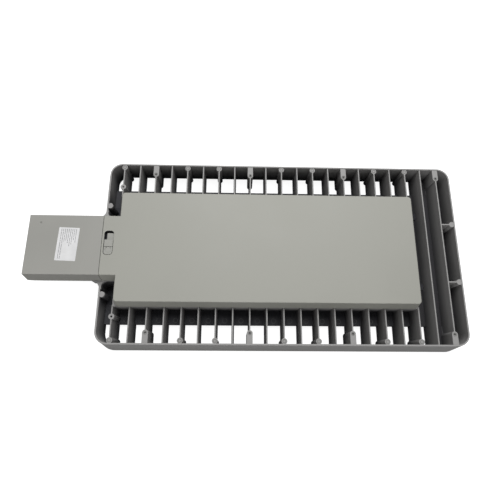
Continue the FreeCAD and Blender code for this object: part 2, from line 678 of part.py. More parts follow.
def cast_hinge_lugs(body):
    """Two pairs of lugs on the box's back wall, bored for the hinge pins."""
    lugs = (
        ("near_outer_lug", "hinge_offset + hinge_ear / 2 + hinge_side_gap"),
        ("near_inner_lug", "hinge_offset - hinge_ear / 2 - hinge_side_gap - hinge_lug"),
        ("far_inner_lug", "hinge_ear / 2 + hinge_side_gap - hinge_offset"),
        ("far_outer_lug", "-hinge_offset - hinge_ear / 2 - hinge_side_gap - hinge_lug"),
    )
    for name, place in lugs:
        profile = new_sketch(body, "XZ_Plane", place)
        tongue(profile, ("hinge_axis", "-hinge_drop"), "box_end - 0.5", "hinge_barrel",
               upright=False)
        pad(body, name, profile, "hinge_lug")
    reach = "hinge_offset + hinge_ear / 2 + hinge_side_gap + hinge_lug"
    bore = new_sketch(body, "XZ_Plane", f"-({reach})")
    circle(bore, "hinge_axis", "-hinge_drop", "hinge_bore_radius")
    pocket(body, "hinge_bores", bore, f"2 * ({reach})", turned=True)


def equipment_places():
    """Where screws hold the driver, the surge protector and the terminal block."""
    places = []
    for way in ("-", "+"):
        for side in ("-", "+"):
            places.append((f"driver_place {way} driver_screw_reach", f"0 {side} driver_screw_side"))
    for way in ("-", "+"):
        places.append((f"surge_place {way} (surge_length / 2 + mount_pad)", "surge_shift"))
        places.append((f"block_place {way} (block_length / 2 + mount_pad)", "block_shift"))
    return places


def fit_out_floor(body):
    """Cast pads for the equipment, their tapped holes, and the LED lead's hole."""
    pads = new_sketch(body, "XY_Plane", "-floor_depth")
    for x, y in equipment_places():
        circle(pads, x, y, "mount_pad")
    pad(body, "equipment_pads", pads, "pad_height")
    holes = new_sketch(body, "XY_Plane", "-pad_top")
    for x, y in equipment_places():
        circle(holes, x, y, "mount_screw + screw_gap")
    pocket(body, "equipment_holes", holes, "mount_thread")
    pedestal = new_sketch(body, "XY_Plane", "-floor_depth")
    rectangle(pedestal, "front_wall - 1", "keeper_start + keeper_width + 1",
              "keeper_place - 1", "keeper_place + keeper_thickness + keeper_base + 1")
    pad(body, "keeper_pedestal", pedestal, "floor_depth - keeper_drop")
    tapped = new_sketch(body, "XY_Plane", "-keeper_drop")
    for way in ("-", "+"):
        circle(tapped, f"keeper_start + keeper_width / 2 {way} 3.5", "keeper_screw",
               "small_screw + screw_gap")
    pocket(body, "keeper_holes", tapped, "floor_depth - keeper_drop - pad_height")
    lead = new_sketch(body, "XY_Plane", "-floor_depth")
    circle(lead, "lead_place", "0", "lead_hole")
    pocket(body, "lead_hole", lead, "floor_thickness")
    vent = new_sketch(body, "YZ_Plane", "box_end")
    circle(vent, "0", "-vent_drop", "vent_radius")
    pocket(body, "vent_hole", vent, "box_wall")


def cast_end_bosses(body):
    """Bosses on the rim's front and back walls and on the first fin."""
    plan = new_sketch(body, "XY_Plane", "-fin_drop")
    for side in ("", "-"):
        circle(plan, "arm_reach + end_boss_inset", f"{side}front_boss_place", "boss_radius")
        circle(plan, "rim_end - end_boss_inset", f"{side}back_boss_place", "boss_radius")
        circle(plan, "first_fin", f"{side}guard_boss_place", "boss_radius")
    pad(body, "end_bosses", plan, "floor_depth", turned=True)


def cast_fins(body):
    """Fins on both sides of the box, and two that run right across behind it."""
    sides = new_sketch(body, "XY_Plane", "-fin_drop")
    for low, high in (("box_half - 2", "inner_half + 0.8"), ("-inner_half - 0.8", "2 - box_half")):
        rectangle(sides, "first_fin - fin_edge / 2", "first_fin + fin_edge / 2", low, high)
    first = pad(body, "first_fins", sides, "fin_depth - fin_drop", turned=True, taper="draft")
    row_of(body, "fins", first, sides, "H_Axis", "fin_pitch", "fin_count")
    across = new_sketch(body, "XY_Plane", "-fin_drop")
    for fin in range(int(value("box_fins")) + 1, int(value("fin_count")) - 1):
        middle = f"first_fin + {fin} * fin_pitch"
        rectangle(across, f"{middle} - fin_edge / 2", f"{middle} + fin_edge / 2",
                  "-box_half", "box_half")
    front, back = "last_fin - fin_edge / 2", "last_fin + fin_edge / 2"
    tip = "rim_end - end_boss_inset"
    inner, outer = "back_boss_place - fin_edge / 2", "back_boss_place + fin_edge / 2"
    outline(across, (
        (front, "-box_half", None),
        (back, "-box_half", None),
        (back, f"-({outer})", None),
        (tip, f"-({outer})", None),
        (tip, f"-({inner})", None),
        (back, f"-({inner})", None),
        (back, inner, None),
        (tip, inner, None),
        (tip, outer, None),
        (back, outer, None),
        (back, "box_half", None),
        (front, "box_half", None),
    ))
    pad(body, "cross_fins", across, "fin_depth - fin_drop", turned=True, taper="draft")


def cast_rim_bosses(body):
    """Round bosses where fins meet the rim, and long ones with a hole on every sixth fin."""
    plan = new_sketch(body, "XY_Plane", "-fin_drop")
    for fin in (0, 4, 6, 10, 12, 16, 18):
        for side in ("", "-"):
            circle(plan, f"first_fin + {fin} * fin_pitch", f"{side}(inner_half - boss_inset)",
                   "boss_radius")
    for fin in (2, 8, 14, 20):
        for side in ("", "-"):
            middle = (f"first_fin + {fin} * fin_pitch", f"{side}(inner_half - long_boss_reach)")
            tongue(plan, middle, f"{side}(inner_half + 1)", "boss_radius")
    pad(body, "rim_bosses", plan, "boss_depth - fin_drop", turned=True)
    holes = new_sketch(body, "XY_Plane", "-fin_drop")
    for fin in (2, 8, 14, 20):
        for side in ("", "-"):
            circle(holes, f"first_fin + {fin} * fin_pitch",
                   f"{side}(inner_half - long_boss_reach)", "long_boss_hole")
    pocket(body, "long_boss_holes", holes, "long_boss_hole_depth")


def lens_screw_places():
    """Four screws for each lens tray, one near each of its corners."""
    places = []
    for tray in range(int(value("lens_count"))):
        middle = f"lens_first + {tray} * lens_pitch"
        for along in ("-", "+"):
            for across in ("-", ""):
                places.append((f"{middle} {along} lens_screw_along",
                               f"{across}lens_screw_across"))
    return places


def cut_recess(body):
    """The recess under the floor for the LED boards, and the lens screws' holes in it."""
    recess = new_sketch(body, "XY_Plane", "-rim_depth")
    rectangle(recess, "recess_start", "recess_end", "-recess_half", "recess_half", "box_corner")
    pocket(body, "led_recess", recess, "rim_depth - recess_depth", turned=True)
    holes = new_sketch(body, "XY_Plane", "-recess_depth")
    for x, y in lens_screw_places():
        circle(holes, x, y, "lens_screw_radius + screw_gap")
    pocket(body, "lens_screw_holes", holes, "floor_thickness - 1", turned=True)


housing = new_body("housing")
cast_rim(housing)
cast_floor(housing)
cast_box(housing)
cut_compartment(housing)
bore_stub(housing)
cast_hinge_lugs(housing)
fit_out_floor(housing)
cast_end_bosses(housing)
cast_fins(housing)
cast_rim_bosses(housing)
bore_first_fin(housing)
cut_recess(housing)


# Driver cover: a die-cast lid that swings up about two hinges on the box's back wall

def cast_cover_shell(body):
    """The lid's leaning skirt, square front, rounded top edge and hollow inside."""
    plan = new_sketch(body, "XY_Plane", "cover_rise")
    outline(plan, t_corners("cover_front", "top_half", "cover_start", "cover_half",
                            "cover_end", "cover_corner"))
    shell = pad(body, "shell", plan, "cover_drop", turned=True, taper="cover_lean")
    names = []
    for number, edge in enumerate(shell.Shape.Edges, start=1):
        box = edge.BoundBox
        on_top = box.ZMin > value("cover_rise") - SAME_PLACE
        if on_top and box.XMax > value("cover_front") + 1:
            names.append(f"Edge{number}")
    edge_round = body.newObject("PartDesign::Fillet", "edge_round")
    edge_round.Base = (shell, names)
    edge_round.setExpression("Radius", cells("cover_round"))
    settle(body, edge_round, False)
    front = new_sketch(body, "XY_Plane", "cover_rise")
    rectangle(front, "cover_front - 2 * cover_flare", "cover_front",
              "-waist_half - 1", "waist_half + 1")
    pocket(body, "square_front", front, "cover_drop")
    inside = new_sketch(body, "XY_Plane", "cover_gap")
    outline(inside, t_corners("cavity_front", "cavity_neck", "cavity_start", "cavity_half",
                              "cavity_end", "cover_corner"))
    pocket(body, "cavity", inside, "ceiling - cover_gap", turned=True)


def cast_cover_ears(body):
    """Two ears that hang from the skirt between the housing's lugs, bored for the pins."""
    for name, middle in (("near", "hinge_offset"), ("far", "-hinge_offset")):
        barrel = new_sketch(body, "XZ_Plane", f"{middle} - hinge_ear / 2")
        tongue(barrel, ("hinge_axis", "-hinge_drop"), "cover_ear_rise", "hinge_barrel")
        pad(body, name + "_ear", barrel, "hinge_ear")
        root = new_sketch(body, "XZ_Plane", f"{middle} - hinge_ear / 2")
        rectangle(root, "cavity_end + 1", "hinge_axis", "cover_gap", "cover_ear_rise")
        pad(body, name + "_ear_root", root, "hinge_ear")
    bore = new_sketch(body, "XZ_Plane", "-hinge_offset - hinge_ear")
    circle(bore, "hinge_axis", "-hinge_drop", "hinge_bore_radius")
    pocket(body, "ear_bores", bore, "2 * hinge_offset + 2 * hinge_ear", turned=True)


def cast_latch_seat(body):
    """The slot for the latch pad, and two bosses under the skin for the latch guide."""
    slot = new_sketch(body, "XY_Plane", "cover_rise")
    rectangle(slot, "slot_start", "slot_end", "slot_bottom", "slot_top", "slot_corner")
    pocket(body, "latch_slot", slot, "cover_skin")
    bosses = new_sketch(body, "XY_Plane", "guide_top")
    for place in ("guide_low_screw", "guide_high_screw"):
        circle(bosses, "leg_middle", place, "guide_boss")
    pad(body, "guide_bosses", bosses, "ceiling - guide_top + screw_gap")
    holes = new_sketch(body, "XY_Plane", "guide_top")
    for place in ("guide_low_screw", "guide_high_screw"):
        circle(holes, "leg_middle", place, "small_screw + screw_gap")
    pocket(body, "guide_holes", holes, "ceiling - guide_top", turned=True)


driver_cover = new_body("driver_cover")
cast_cover_shell(driver_cover)
cast_cover_ears(driver_cover)
cast_latch_seat(driver_cover)


# Cover gasket: a silicone cord in the groove on the box's walls

cover_gasket = new_body("cover_gasket")
ring = new_sketch(cover_gasket, "XY_Plane", "-seal_groove")
seal_ring(ring)
pad(cover_gasket, "cord", ring, "seal_groove + cover_gap - seal_gap")


# Hinge pins: two steel pins, each through a pair of lugs and the ear between them

hinge_pins = new_body("hinge_pins")
for name, middle in (("near", "hinge_offset"), ("far", "-hinge_offset")):
    reach = "(hinge_ear / 2 + hinge_side_gap + hinge_lug)"
    section = new_sketch(hinge_pins, "XZ_Plane", f"{middle} - {reach}")
    circle(section, "hinge_axis", "-hinge_drop", "hinge_pin_radius")
    pad(hinge_pins, name + "_pin", section, f"2 * {reach}")


# Latch: a sliding pad in the cover's slot with a leg whose foot hooks into the keeper

latch_slider = new_body("latch_slider")
flange = new_sketch(latch_slider, "XY_Plane", "latch_low")
rectangle(flange, "cavity_front + fit_gap", "slot_end + latch_overlap",
          "flange_start", "pad_end")
pad(latch_slider, "flange", flange, "latch_flange")
face = new_sketch(latch_slider, "XY_Plane", "latch_top")
outline(face, (
    ("slot_start + latch_gap", "pad_start", "slot_corner - latch_gap"),
    ("slot_end - latch_gap", "pad_start", "slot_corner - latch_gap"),
    ("slot_end - latch_gap", "pad_end", None),
    ("slot_start + latch_gap", "pad_end", None),
))
pad(latch_slider, "finger_pad", face, "cover_rise - latch_drop - latch_top")
dimple = new_sketch(latch_slider, "XY_Plane", "cover_rise - latch_drop")
circle(dimple, "(slot_start + slot_end) / 2", "pad_start + slot_width / 2", "latch_dimple")
pocket(latch_slider, "dimple", dimple, "latch_dimple_depth")
line = new_sketch(latch_slider, "XY_Plane", "cover_rise - latch_drop")
rectangle(line, "slot_start", "slot_end", "(pad_start + pad_end) / 2",
          "(pad_start + pad_end) / 2 + latch_line")
pocket(latch_slider, "line", line, "latch_line")
strip = new_sketch(latch_slider, "XY_Plane", "latch_low")
rectangle(strip, "slot_start + latch_flange", "slot_end - 1",
          "pad_end", "pad_end + latch_tongue")
pad(latch_slider, "tongue", strip, "latch_tongue_height")
hook = new_sketch(latch_slider, "YZ_Plane", "leg_start")
polygon(hook, (
    ("0", "-latch_foot_drop"),
    ("latch_foot_reach", "-latch_foot_drop"),
    ("latch_foot_reach", "latch_foot_height - latch_foot_drop"),
    ("latch_leg_width", "latch_foot_height - latch_foot_drop"),
    ("latch_leg_width", "latch_low + 1"),
    ("0", "latch_low + 1"),
))
pad(latch_slider, "hook", hook, "latch_leg")


# Latch guide: a steel plate screwed under the cover so that the latch can only slide

latch_guide = new_body("latch_guide")
plate = new_sketch(latch_guide, "XY_Plane", "guide_top - guide_thickness")
rectangle(plate, "cavity_front + 1", "slot_end + latch_overlap",
          "guide_low_screw - guide_boss", "guide_high_screw + guide_boss")
rectangle(plate, "leg_start - latch_gap", "leg_start + latch_leg + latch_gap",
          "-latch_gap", "latch_leg_width + latch_travel + latch_gap")
for place in ("guide_low_screw", "guide_high_screw"):
    circle(plate, "leg_middle", place, "small_screw + screw_gap")
pad(latch_guide, "plate", plate, "guide_thickness")

guide_screws = new_body("guide_screws")
heads = new_sketch(guide_screws, "XY_Plane", "guide_top - guide_thickness")
shanks = new_sketch(guide_screws, "XY_Plane", "guide_top - guide_thickness")
for place in ("guide_low_screw", "guide_high_screw"):
    circle(heads, "leg_middle", place, "small_head")
    circle(shanks, "leg_middle", place, "small_screw")
pad(guide_screws, "heads", heads, "head_height", turned=True)
pad(guide_screws, "shanks", shanks, "guide_thickness + guide_boss")


# Latch keeper: a folded steel bracket on a cast pedestal, with a window for the foot

latch_keeper = new_body("latch_keeper")
fold = new_sketch(latch_keeper, "YZ_Plane", "keeper_start")
polygon(fold, (
    ("keeper_place", "-keeper_drop"),
    ("keeper_place + keeper_thickness + keeper_base", "-keeper_drop"),
    ("keeper_place + keeper_thickness + keeper_base", "keeper_thickness - keeper_drop"),
    ("keeper_place + keeper_thickness", "keeper_thickness - keeper_drop"),
    ("keeper_place + keeper_thickness", "-keeper_top"),
    ("keeper_place", "-keeper_top"),
))
pad(latch_keeper, "bracket", fold, "keeper_width")
window = new_sketch(latch_keeper, "XZ_Plane", "-keeper_place")
rectangle(window, "leg_start - keeper_window", "leg_start + latch_leg + keeper_window",
          "-latch_foot_drop - keeper_window",
          "latch_foot_height - latch_foot_drop + keeper_window")
pocket(latch_keeper, "window", window, "keeper_thickness")
seats = new_sketch(latch_keeper, "XY_Plane", "keeper_thickness - keeper_drop")
for way in ("-", "+"):
    circle(seats, f"keeper_start + keeper_width / 2 {way} 3.5", "keeper_screw",
           "small_screw + screw_gap")
pocket(latch_keeper, "screw_holes", seats, "keeper_thickness")

keeper_screws = new_body("keeper_screws")
heads = new_sketch(keeper_screws, "XY_Plane", "keeper_thickness - keeper_drop")
shanks = new_sketch(keeper_screws, "XY_Plane", "keeper_thickness - keeper_drop")
for way in ("-", "+"):
    circle(heads, f"keeper_start + keeper_width / 2 {way} 3.5", "keeper_screw", "small_head")
    circle(shanks, f"keeper_start + keeper_width / 2 {way} 3.5", "keeper_screw", "small_screw")
pad(keeper_screws, "heads", heads, "head_height")
pad(keeper_screws, "shanks", shanks, "keeper_thickness + 2 * pad_height", turned=True)


# Arm: a hollow casting, open below, whose tongue laps over the stub up to the cover

arm = new_body("arm")
section = new_sketch(arm, "YZ_Plane")
polygon(section, (
    ("-keel_half", "-arm_keel_depth"),
    ("keel_half", "-arm_keel_depth"),
    ("waist_half", "0"),
    ("top_half", "cover_rise"),
    ("-top_half", "cover_rise"),
    ("-waist_half", "0"),
))
pad(arm, "beam", section, "seam")
step = new_sketch(arm, "YZ_Plane", "seam")
rectangle(step, "-waist_half - 1", "waist_half + 1", "-arm_keel_depth - 1", "fit_gap")
pocket(arm, "step", step, "seam - arm_end")
hollow = new_sketch(arm, "XY_Plane", "-arm_keel_depth")
rectangle(hollow, "arm_end_wall", "arm_cavity_end", "-arm_cavity_half", "arm_cavity_half",
          "arm_cavity_corner")
pocket(arm, "hollow", hollow, "arm_keel_depth + cover_rise - arm_skin", turned=True)
under = new_sketch(arm, "XY_Plane", "fit_gap")
rectangle(under, "arm_end + arm_skin", "seam - arm_skin", "-arm_cavity_half",
          "arm_cavity_half", "arm_skin")
pocket(arm, "tongue_hollow", under, "cover_rise - arm_skin - fit_gap", turned=True)
columns = new_sketch(arm, "XY_Plane", "arm_plate - arm_keel_depth")
for x in ("arm_screw_first", "arm_screw_last"):
    for side in ("", "-"):
        tongue(columns, (x, f"{side}arm_screw_side"), f"{side}(arm_cavity_half + 1)",
               "arm_plate_edge")
pad(arm, "screw_columns", columns, "arm_keel_depth + cover_rise - arm_plate - arm_skin / 2")
rebate = new_sketch(arm, "XY_Plane", "-arm_keel_depth")
rectangle(rebate, "arm_end_wall - arm_plate_edge", "arm_cavity_end + arm_plate_edge",
          "-arm_cavity_half - arm_plate_edge", "arm_cavity_half + arm_plate_edge",
          "arm_cavity_corner + arm_plate_edge")
pocket(arm, "rebate", rebate, "arm_plate", turned=True)
tapped = new_sketch(arm, "XY_Plane", "arm_plate - arm_keel_depth")
for x in ("arm_screw_first", "arm_screw_last"):
    for side in ("", "-"):
        circle(tapped, x, f"{side}arm_screw_side", "mount_screw + screw_gap")
pocket(arm, "column_holes", tapped, "2 * arm_plate_edge", turned=True)
pole_side = new_sketch(arm, "YZ_Plane")
circle(pole_side, "0", "0", "arm_wire_radius")
for side in ("", "-"):
    circle(pole_side, f"{side}arm_bolt_spacing / 2", "0", "arm_bolt_radius")
pocket(arm, "pole_holes", pole_side, "arm_end_wall", turned=True)
head_side = new_sketch(arm, "YZ_Plane", "arm_end")
circle(head_side, "0", "-channel_drop", "channel_radius")
for side in ("", "-"):
    for across in ("arm_bolt_inner", "arm_bolt_outer"):
        circle(head_side, f"{side}{across}", "-channel_drop", "arm_bolt_shank + screw_gap")
pocket(arm, "head_holes", head_side, "arm_inner_wall")
mark = new_sketch(arm, "XY_Plane", "cover_rise")
circle(mark, "arm_mark_place", "arm_mark_side", "arm_mark_radius")
pocket(arm, "mark", mark, "arm_mark_depth")


# Arm's fasteners and seals

arm_gasket = new_body("arm_gasket")
section = new_sketch(arm_gasket, "YZ_Plane", "arm_end")
polygon(section, (
    ("-keel_half + arm_seal", "arm_seal - arm_keel_depth"),
    ("keel_half - arm_seal", "arm_seal - arm_keel_depth"),
    ("waist_half - 2 * arm_seal", "-arm_seal"),
    ("2 * arm_seal - waist_half", "-arm_seal"),
))
circle(section, "0", "-channel_drop", "channel_radius")
for side in ("", "-"):
    for across in ("arm_bolt_inner", "arm_bolt_outer"):
        circle(section, f"{side}{across}", "-channel_drop", "arm_bolt_shank + screw_gap")
pad(arm_gasket, "sheet", section, "arm_seal")

arm_bolts = new_body("arm_bolts")
heads = new_sketch(arm_bolts, "YZ_Plane", "arm_cavity_end")
shanks = new_sketch(arm_bolts, "YZ_Plane", "arm_cavity_end")
for side in ("", "-"):
    for across in ("arm_bolt_inner", "arm_bolt_outer"):
        circle(heads, f"{side}{across}", "-channel_drop", "arm_bolt_head")
        circle(shanks, f"{side}{across}", "-channel_drop", "arm_bolt_shank")
pad(arm_bolts, "heads", heads, "2 * arm_bolt_shank", turned=True)
pad(arm_bolts, "shanks", shanks, "arm_bolt_length")

arm_cover_plate = new_body("arm_cover_plate")
plate = new_sketch(arm_cover_plate, "XY_Plane", "-arm_keel_depth")
rectangle(plate, "arm_end_wall - arm_plate_edge + fit_gap",
          "arm_cavity_end + arm_plate_edge - fit_gap",
          "fit_gap - arm_cavity_half - arm_plate_edge",
          "arm_cavity_half + arm_plate_edge - fit_gap",
          "arm_cavity_corner + arm_plate_edge - fit_gap")
for x in ("arm_screw_first", "arm_screw_last"):
    for side in ("", "-"):
        circle(plate, x, f"{side}arm_screw_side", "mount_screw + screw_gap")
pad(arm_cover_plate, "plate", plate, "arm_plate")

arm_cover_screws = new_body("arm_cover_screws")
heads = new_sketch(arm_cover_screws, "XY_Plane", "-arm_keel_depth")
shanks = new_sketch(arm_cover_screws, "XY_Plane", "-arm_keel_depth")
for x in ("arm_screw_first", "arm_screw_last"):
    for side in ("", "-"):
        circle(heads, x, f"{side}arm_screw_side", "lens_screw_head")
        circle(shanks, x, f"{side}arm_screw_side", "mount_screw")
pad(arm_cover_screws, "heads", heads, "head_height", turned=True)
pad(arm_cover_screws, "shanks", shanks, "arm_plate + 2 * arm_plate_edge - 1")

cable_bushing = new_body("cable_bushing")
sleeve = new_sketch(cable_bushing, "YZ_Plane", "fit_gap")
circle(sleeve, "0", "0", "arm_wire_radius - screw_gap")
circle(sleeve, "0", "0", "bushing_bore")
pad(cable_bushing, "sleeve", sleeve, "arm_end_wall + arm_plate - fit_gap")
collar = new_sketch(cable_bushing, "YZ_Plane", "arm_end_wall")
circle(collar, "0", "0", "bushing_flange")
circle(collar, "0", "0", "bushing_bore")
pad(cable_bushing, "collar", collar, "arm_plate")

arm_label = new_body("arm_label")
film = new_sketch(arm_label, "XY_Plane")
rectangle(film, "-label_width / 2", "label_width / 2", "-label_length / 2", "label_length / 2")
pad(arm_label, "film", film, "label_film")
arm_label.Placement = FreeCAD.Placement(
    Vector(), FreeCAD.Rotation(Vector(0, 0, 1), value("label_skew")))
arm_label.setExpression("Placement.Base.x", cells("label_place"))
arm_label.setExpression("Placement.Base.y", cells("label_side"))
arm_label.setExpression("Placement.Base.z", cells("cover_rise"))
arm_label.setExpression("Placement.Rotation.Angle", cells("label_skew"))


# Equipment in the driver box: each stands on cast pads with a screw through each ear

def boxed_unit(body, place, shift, length, width, height, ear):
    """A case with thin mounting ears at both ends that reach past the case."""
    ears = new_sketch(body, "XY_Plane", "-pad_top")
    rectangle(ears, f"{place} - {length} / 2 - {ear}", f"{place} + {length} / 2 + {ear}",
              f"{shift} - {width} / 2", f"{shift} + {width} / 2")
    for x, y in equipment_places():
        inside = abs(value(x) - value(place)) < value(f"{length} / 2 + {ear}")
        if inside and abs(value(y) - value(shift)) < value(f"{width} / 2"):
            circle(ears, x, y, "mount_screw + screw_gap")
    pad(body, "ears", ears, "ear_thickness")
    case = new_sketch(body, "XY_Plane", "ear_thickness - pad_top")
    rectangle(case, f"{place} - {length} / 2", f"{place} + {length} / 2",
              f"{shift} - {width} / 2", f"{shift} + {width} / 2", "arm_skin")
    pad(body, "case", case, f"{height} - ear_thickness")


led_driver = new_body("led_driver")
boxed_unit(led_driver, "driver_place", "0", "driver_length", "driver_width", "driver_height",
           "driver_flange")
surge_protector = new_body("surge_protector")
boxed_unit(surge_protector, "surge_place", "surge_shift", "surge_length", "surge_width",
           "surge_height", "2 * mount_pad")
terminal_block = new_body("terminal_block")
boxed_unit(terminal_block, "block_place", "block_shift", "block_length", "block_width",
           "block_height", "2 * mount_pad")

equipment_screws = new_body("equipment_screws")
heads = new_sketch(equipment_screws, "XY_Plane", "ear_thickness - pad_top")
shanks = new_sketch(equipment_screws, "XY_Plane", "ear_thickness - pad_top")
for x, y in equipment_places():
    circle(heads, x, y, "lens_screw_head")
    circle(shanks, x, y, "mount_screw")
pad(equipment_screws, "heads", heads, "head_height")
pad(equipment_screws, "shanks", shanks, "ear_thickness + mount_thread - fit_gap", turned=True)


# Leads: wires from terminal block to driver, and one lead down to the LED boards

def sweep(body, name, profile, spine):
    """Sweeps the profile's circles along the spine."""
    pipe = body.newObject("PartDesign::AdditivePipe", name)
    pipe.Profile = profile
    pipe.Spine = (spine, [f"Edge{number + 1}" for number in range(spine.GeometryCount)])
    settle(body, pipe, True)


def route(sketch, points, radius):
    """An open run of level and upright lines with equal bends between them."""
    places = [Vector(value(x), value(y), 0) for x, y in points]
    bend = value(radius)
    ways = [(ahead - here).normalize() for here, ahead in zip(places, places[1:])]
    lines = []
    for number, way in enumerate(ways):
        start = places[number] + (way * bend if number else Vector())
        last = number == len(ways) - 1
        end = places[number + 1] - (Vector() if last else way * bend)
        line = sketch.addGeometry(Part.LineSegment(start, end))
        level = abs(way.y) < SAME_PLACE
        sketch.addConstraint(Sketcher.Constraint("Horizontal" if level else "Vertical", line))
        if level:
            fix(sketch, "DistanceY", line, START, points[number][1])
        else:
            fix(sketch, "DistanceX", line, START, points[number][0])
        lines.append(line)
    fix(sketch, "DistanceX", lines[0], START, points[0][0])
    end_way = "DistanceX" if abs(ways[-1].y) < SAME_PLACE else "DistanceY"
    fix(sketch, end_way, lines[-1], END, points[-1][0 if end_way == "DistanceX" else 1])
    for number in range(len(lines) - 1):
        bend_corner(sketch, places[number + 1], ways[number], ways[number + 1],
                    lines[number], lines[number + 1], radius)


input_wires = new_body("input_wires")
wire_start = "block_place + block_length / 2"
run = new_sketch(input_wires, "XY_Plane", "-lead_drop")
route(run, (
    (wire_start, "block_shift"),
    ("wire_turn", "block_shift"),
    ("wire_turn", "wire_end"),
    ("driver_place - driver_length / 2", "wire_end"),
), "lead_bend")
ends = new_sketch(input_wires, "YZ_Plane", wire_start)
for step in ("-1", "0", "1"):
    circle(ends, f"block_shift + {step} * wire_spacing", "-lead_drop", "wire_radius")
sweep(input_wires, "wires", ends, run)

led_lead = new_body("led_lead")
run = new_sketch(led_lead, "XZ_Plane")
route(run, (
    ("driver_place + driver_length / 2", "-lead_drop"),
    ("lead_place", "-lead_drop"),
    ("lead_place", "-recess_depth"),
), "lead_bend")
ends = new_sketch(led_lead, "YZ_Plane", "driver_place + driver_length / 2")
circle(ends, "0", "-lead_drop", "lead_radius")
sweep(led_lead, "lead", ends, run)

lead_grommet = new_body("lead_grommet")
sleeve = new_sketch(lead_grommet, "XY_Plane", "-recess_depth")
circle(sleeve, "lead_place", "0", "lead_hole - screw_gap")
circle(sleeve, "lead_place", "0", "grommet_bore")
pad(lead_grommet, "sleeve", sleeve, "floor_thickness + grommet_height")
collar = new_sketch(lead_grommet, "XY_Plane", "-floor_depth")
circle(collar, "lead_place", "0", "grommet_flange")
circle(collar, "lead_place", "0", "grommet_bore")
pad(lead_grommet, "collar", collar, "grommet_height")

vent_plug = new_body("vent_plug")
head = new_sketch(vent_plug, "YZ_Plane", "box_end")
circle(head, "0", "-vent_drop", "vent_head")
pad(vent_plug, "head", head, "vent_head_height")
thread = new_sketch(vent_plug, "YZ_Plane", "box_end")
circle(thread, "0", "-vent_drop", "vent_radius - screw_gap")
pad(vent_plug, "thread", thread, "box_wall", turned=True)


# LED modules: four boards under the floor, each sealed behind a screwed lens tray

def first_column():
    """Places of the domes in the first column, one above each LED chip."""
    x = "-(dome_columns - 1) / 2 * dome_pitch_along"
    return [(x, f"({row} - (dome_rows - 1) / 2) * dome_pitch_across")
            for row in range(int(value("dome_rows")))]


def set_in_row(body, number):
    """Puts a module's piece at its place in the row under the floor."""
    body.setExpression("Placement.Base.x", cells(f"lens_first + {number} * lens_pitch"))
    body.setExpression("Placement.Base.z", cells("-recess_depth"))


def copy_in_row(source, label, number):
    """A second, third or fourth piece of the same shape."""
    body = new_body(label)
    base = body.newObject("PartDesign::FeatureBase", "same_as_first")
    base.BaseFeature = source
    base.Placement = source.Placement
    body.Tip = base
    set_in_row(body, number)
    return body


board = new_body("led_board_1")
plan = new_sketch(board, "XY_Plane")
rectangle(plan, "-board_length / 2", "board_length / 2", "-board_width / 2", "board_width / 2")
pad(board, "laminate", plan, "board_thickness", turned=True)
chip = new_sketch(board, "XY_Plane", "-board_thickness")
for x, y in first_column():
    rectangle(chip, f"{x} - chip_side / 2", f"{x} + chip_side / 2",
              f"{y} - chip_side / 2", f"{y} + chip_side / 2")
column = pad(board, "chips", chip, "chip_height", turned=True)
row_of(board, "chip_columns", column, chip, "H_Axis", "dome_pitch_along", "dome_columns")

seal = new_body("lens_gasket_1")
plan = new_sketch(seal, "XY_Plane")
for extra in ("lens_seal_width", "0"):
    rectangle(plan, f"-seal_along - {extra}", f"seal_along + {extra}",
              f"-seal_across - {extra}", f"seal_across + {extra}", f"lens_seal_width + {extra}")
pad(seal, "ring", plan, "lens_seat + lens_seal_depth", turned=True)

tray = new_body("lens_tray_1")
plan = new_sketch(tray, "XY_Plane", "-lens_seat")
rectangle(plan, "-lens_length / 2", "lens_length / 2", "-lens_width / 2", "lens_width / 2",
          "lens_corner")
for along in ("-", ""):
    for across in ("-", ""):
        circle(plan, f"{along}lens_screw_along", f"{across}lens_screw_across",
               "lens_screw_radius + screw_gap")
pad(tray, "plate", plan, "lens_depth", turned=True)
hollow = new_sketch(tray, "XY_Plane", "-lens_seat")
rectangle(hollow, "-board_length / 2 - fit_gap", "board_length / 2 + fit_gap",
          "-board_width / 2 - fit_gap", "board_width / 2 + fit_gap")
pocket(tray, "board_space", hollow, "tray_skirt")
groove = new_sketch(tray, "XY_Plane", "-lens_seat")
for extra in ("lens_seal_width", "0"):
    rectangle(groove, f"-seal_along - {extra}", f"seal_along + {extra}",
              f"-seal_across - {extra}", f"seal_across + {extra}",
              f"lens_seal_width + {extra}")
pocket(tray, "seal_groove", groove, "lens_seal_depth")
dome = new_sketch(tray, "XY_Plane", "-lens_seat - lens_depth")
for x, y in first_column():
    circle(dome, x, y, "dome_radius")
column = pad(tray, "domes", dome, "dome_height", turned=True, taper="-dome_lean")
row_of(tray, "dome_columns", column, dome, "H_Axis", "dome_pitch_along", "dome_columns")

for body in (board, seal, tray):
    set_in_row(body, 0)
for number in range(1, int(value("lens_count"))):
    copy_in_row(board, f"led_board_{number + 1}", number)
    copy_in_row(seal, f"lens_gasket_{number + 1}", number)
    copy_in_row(tray, f"lens_tray_{number + 1}", number)

lens_screws = new_body("lens_screws")
heads = new_sketch(lens_screws, "XY_Plane", "-recess_depth - lens_seat - lens_depth")
shanks = new_sketch(lens_screws, "XY_Plane", "-recess_depth - lens_seat - lens_depth")
for x, y in lens_screw_places():
    circle(heads, x, y, "lens_screw_head")
    circle(shanks, x, y, "lens_screw_radius")
pad(lens_screws, "heads", heads, "lens_head_height", turned=True)
pad(lens_screws, "shanks", shanks, "lens_screw_reach")


# Every object must be sound before the pieces are written out

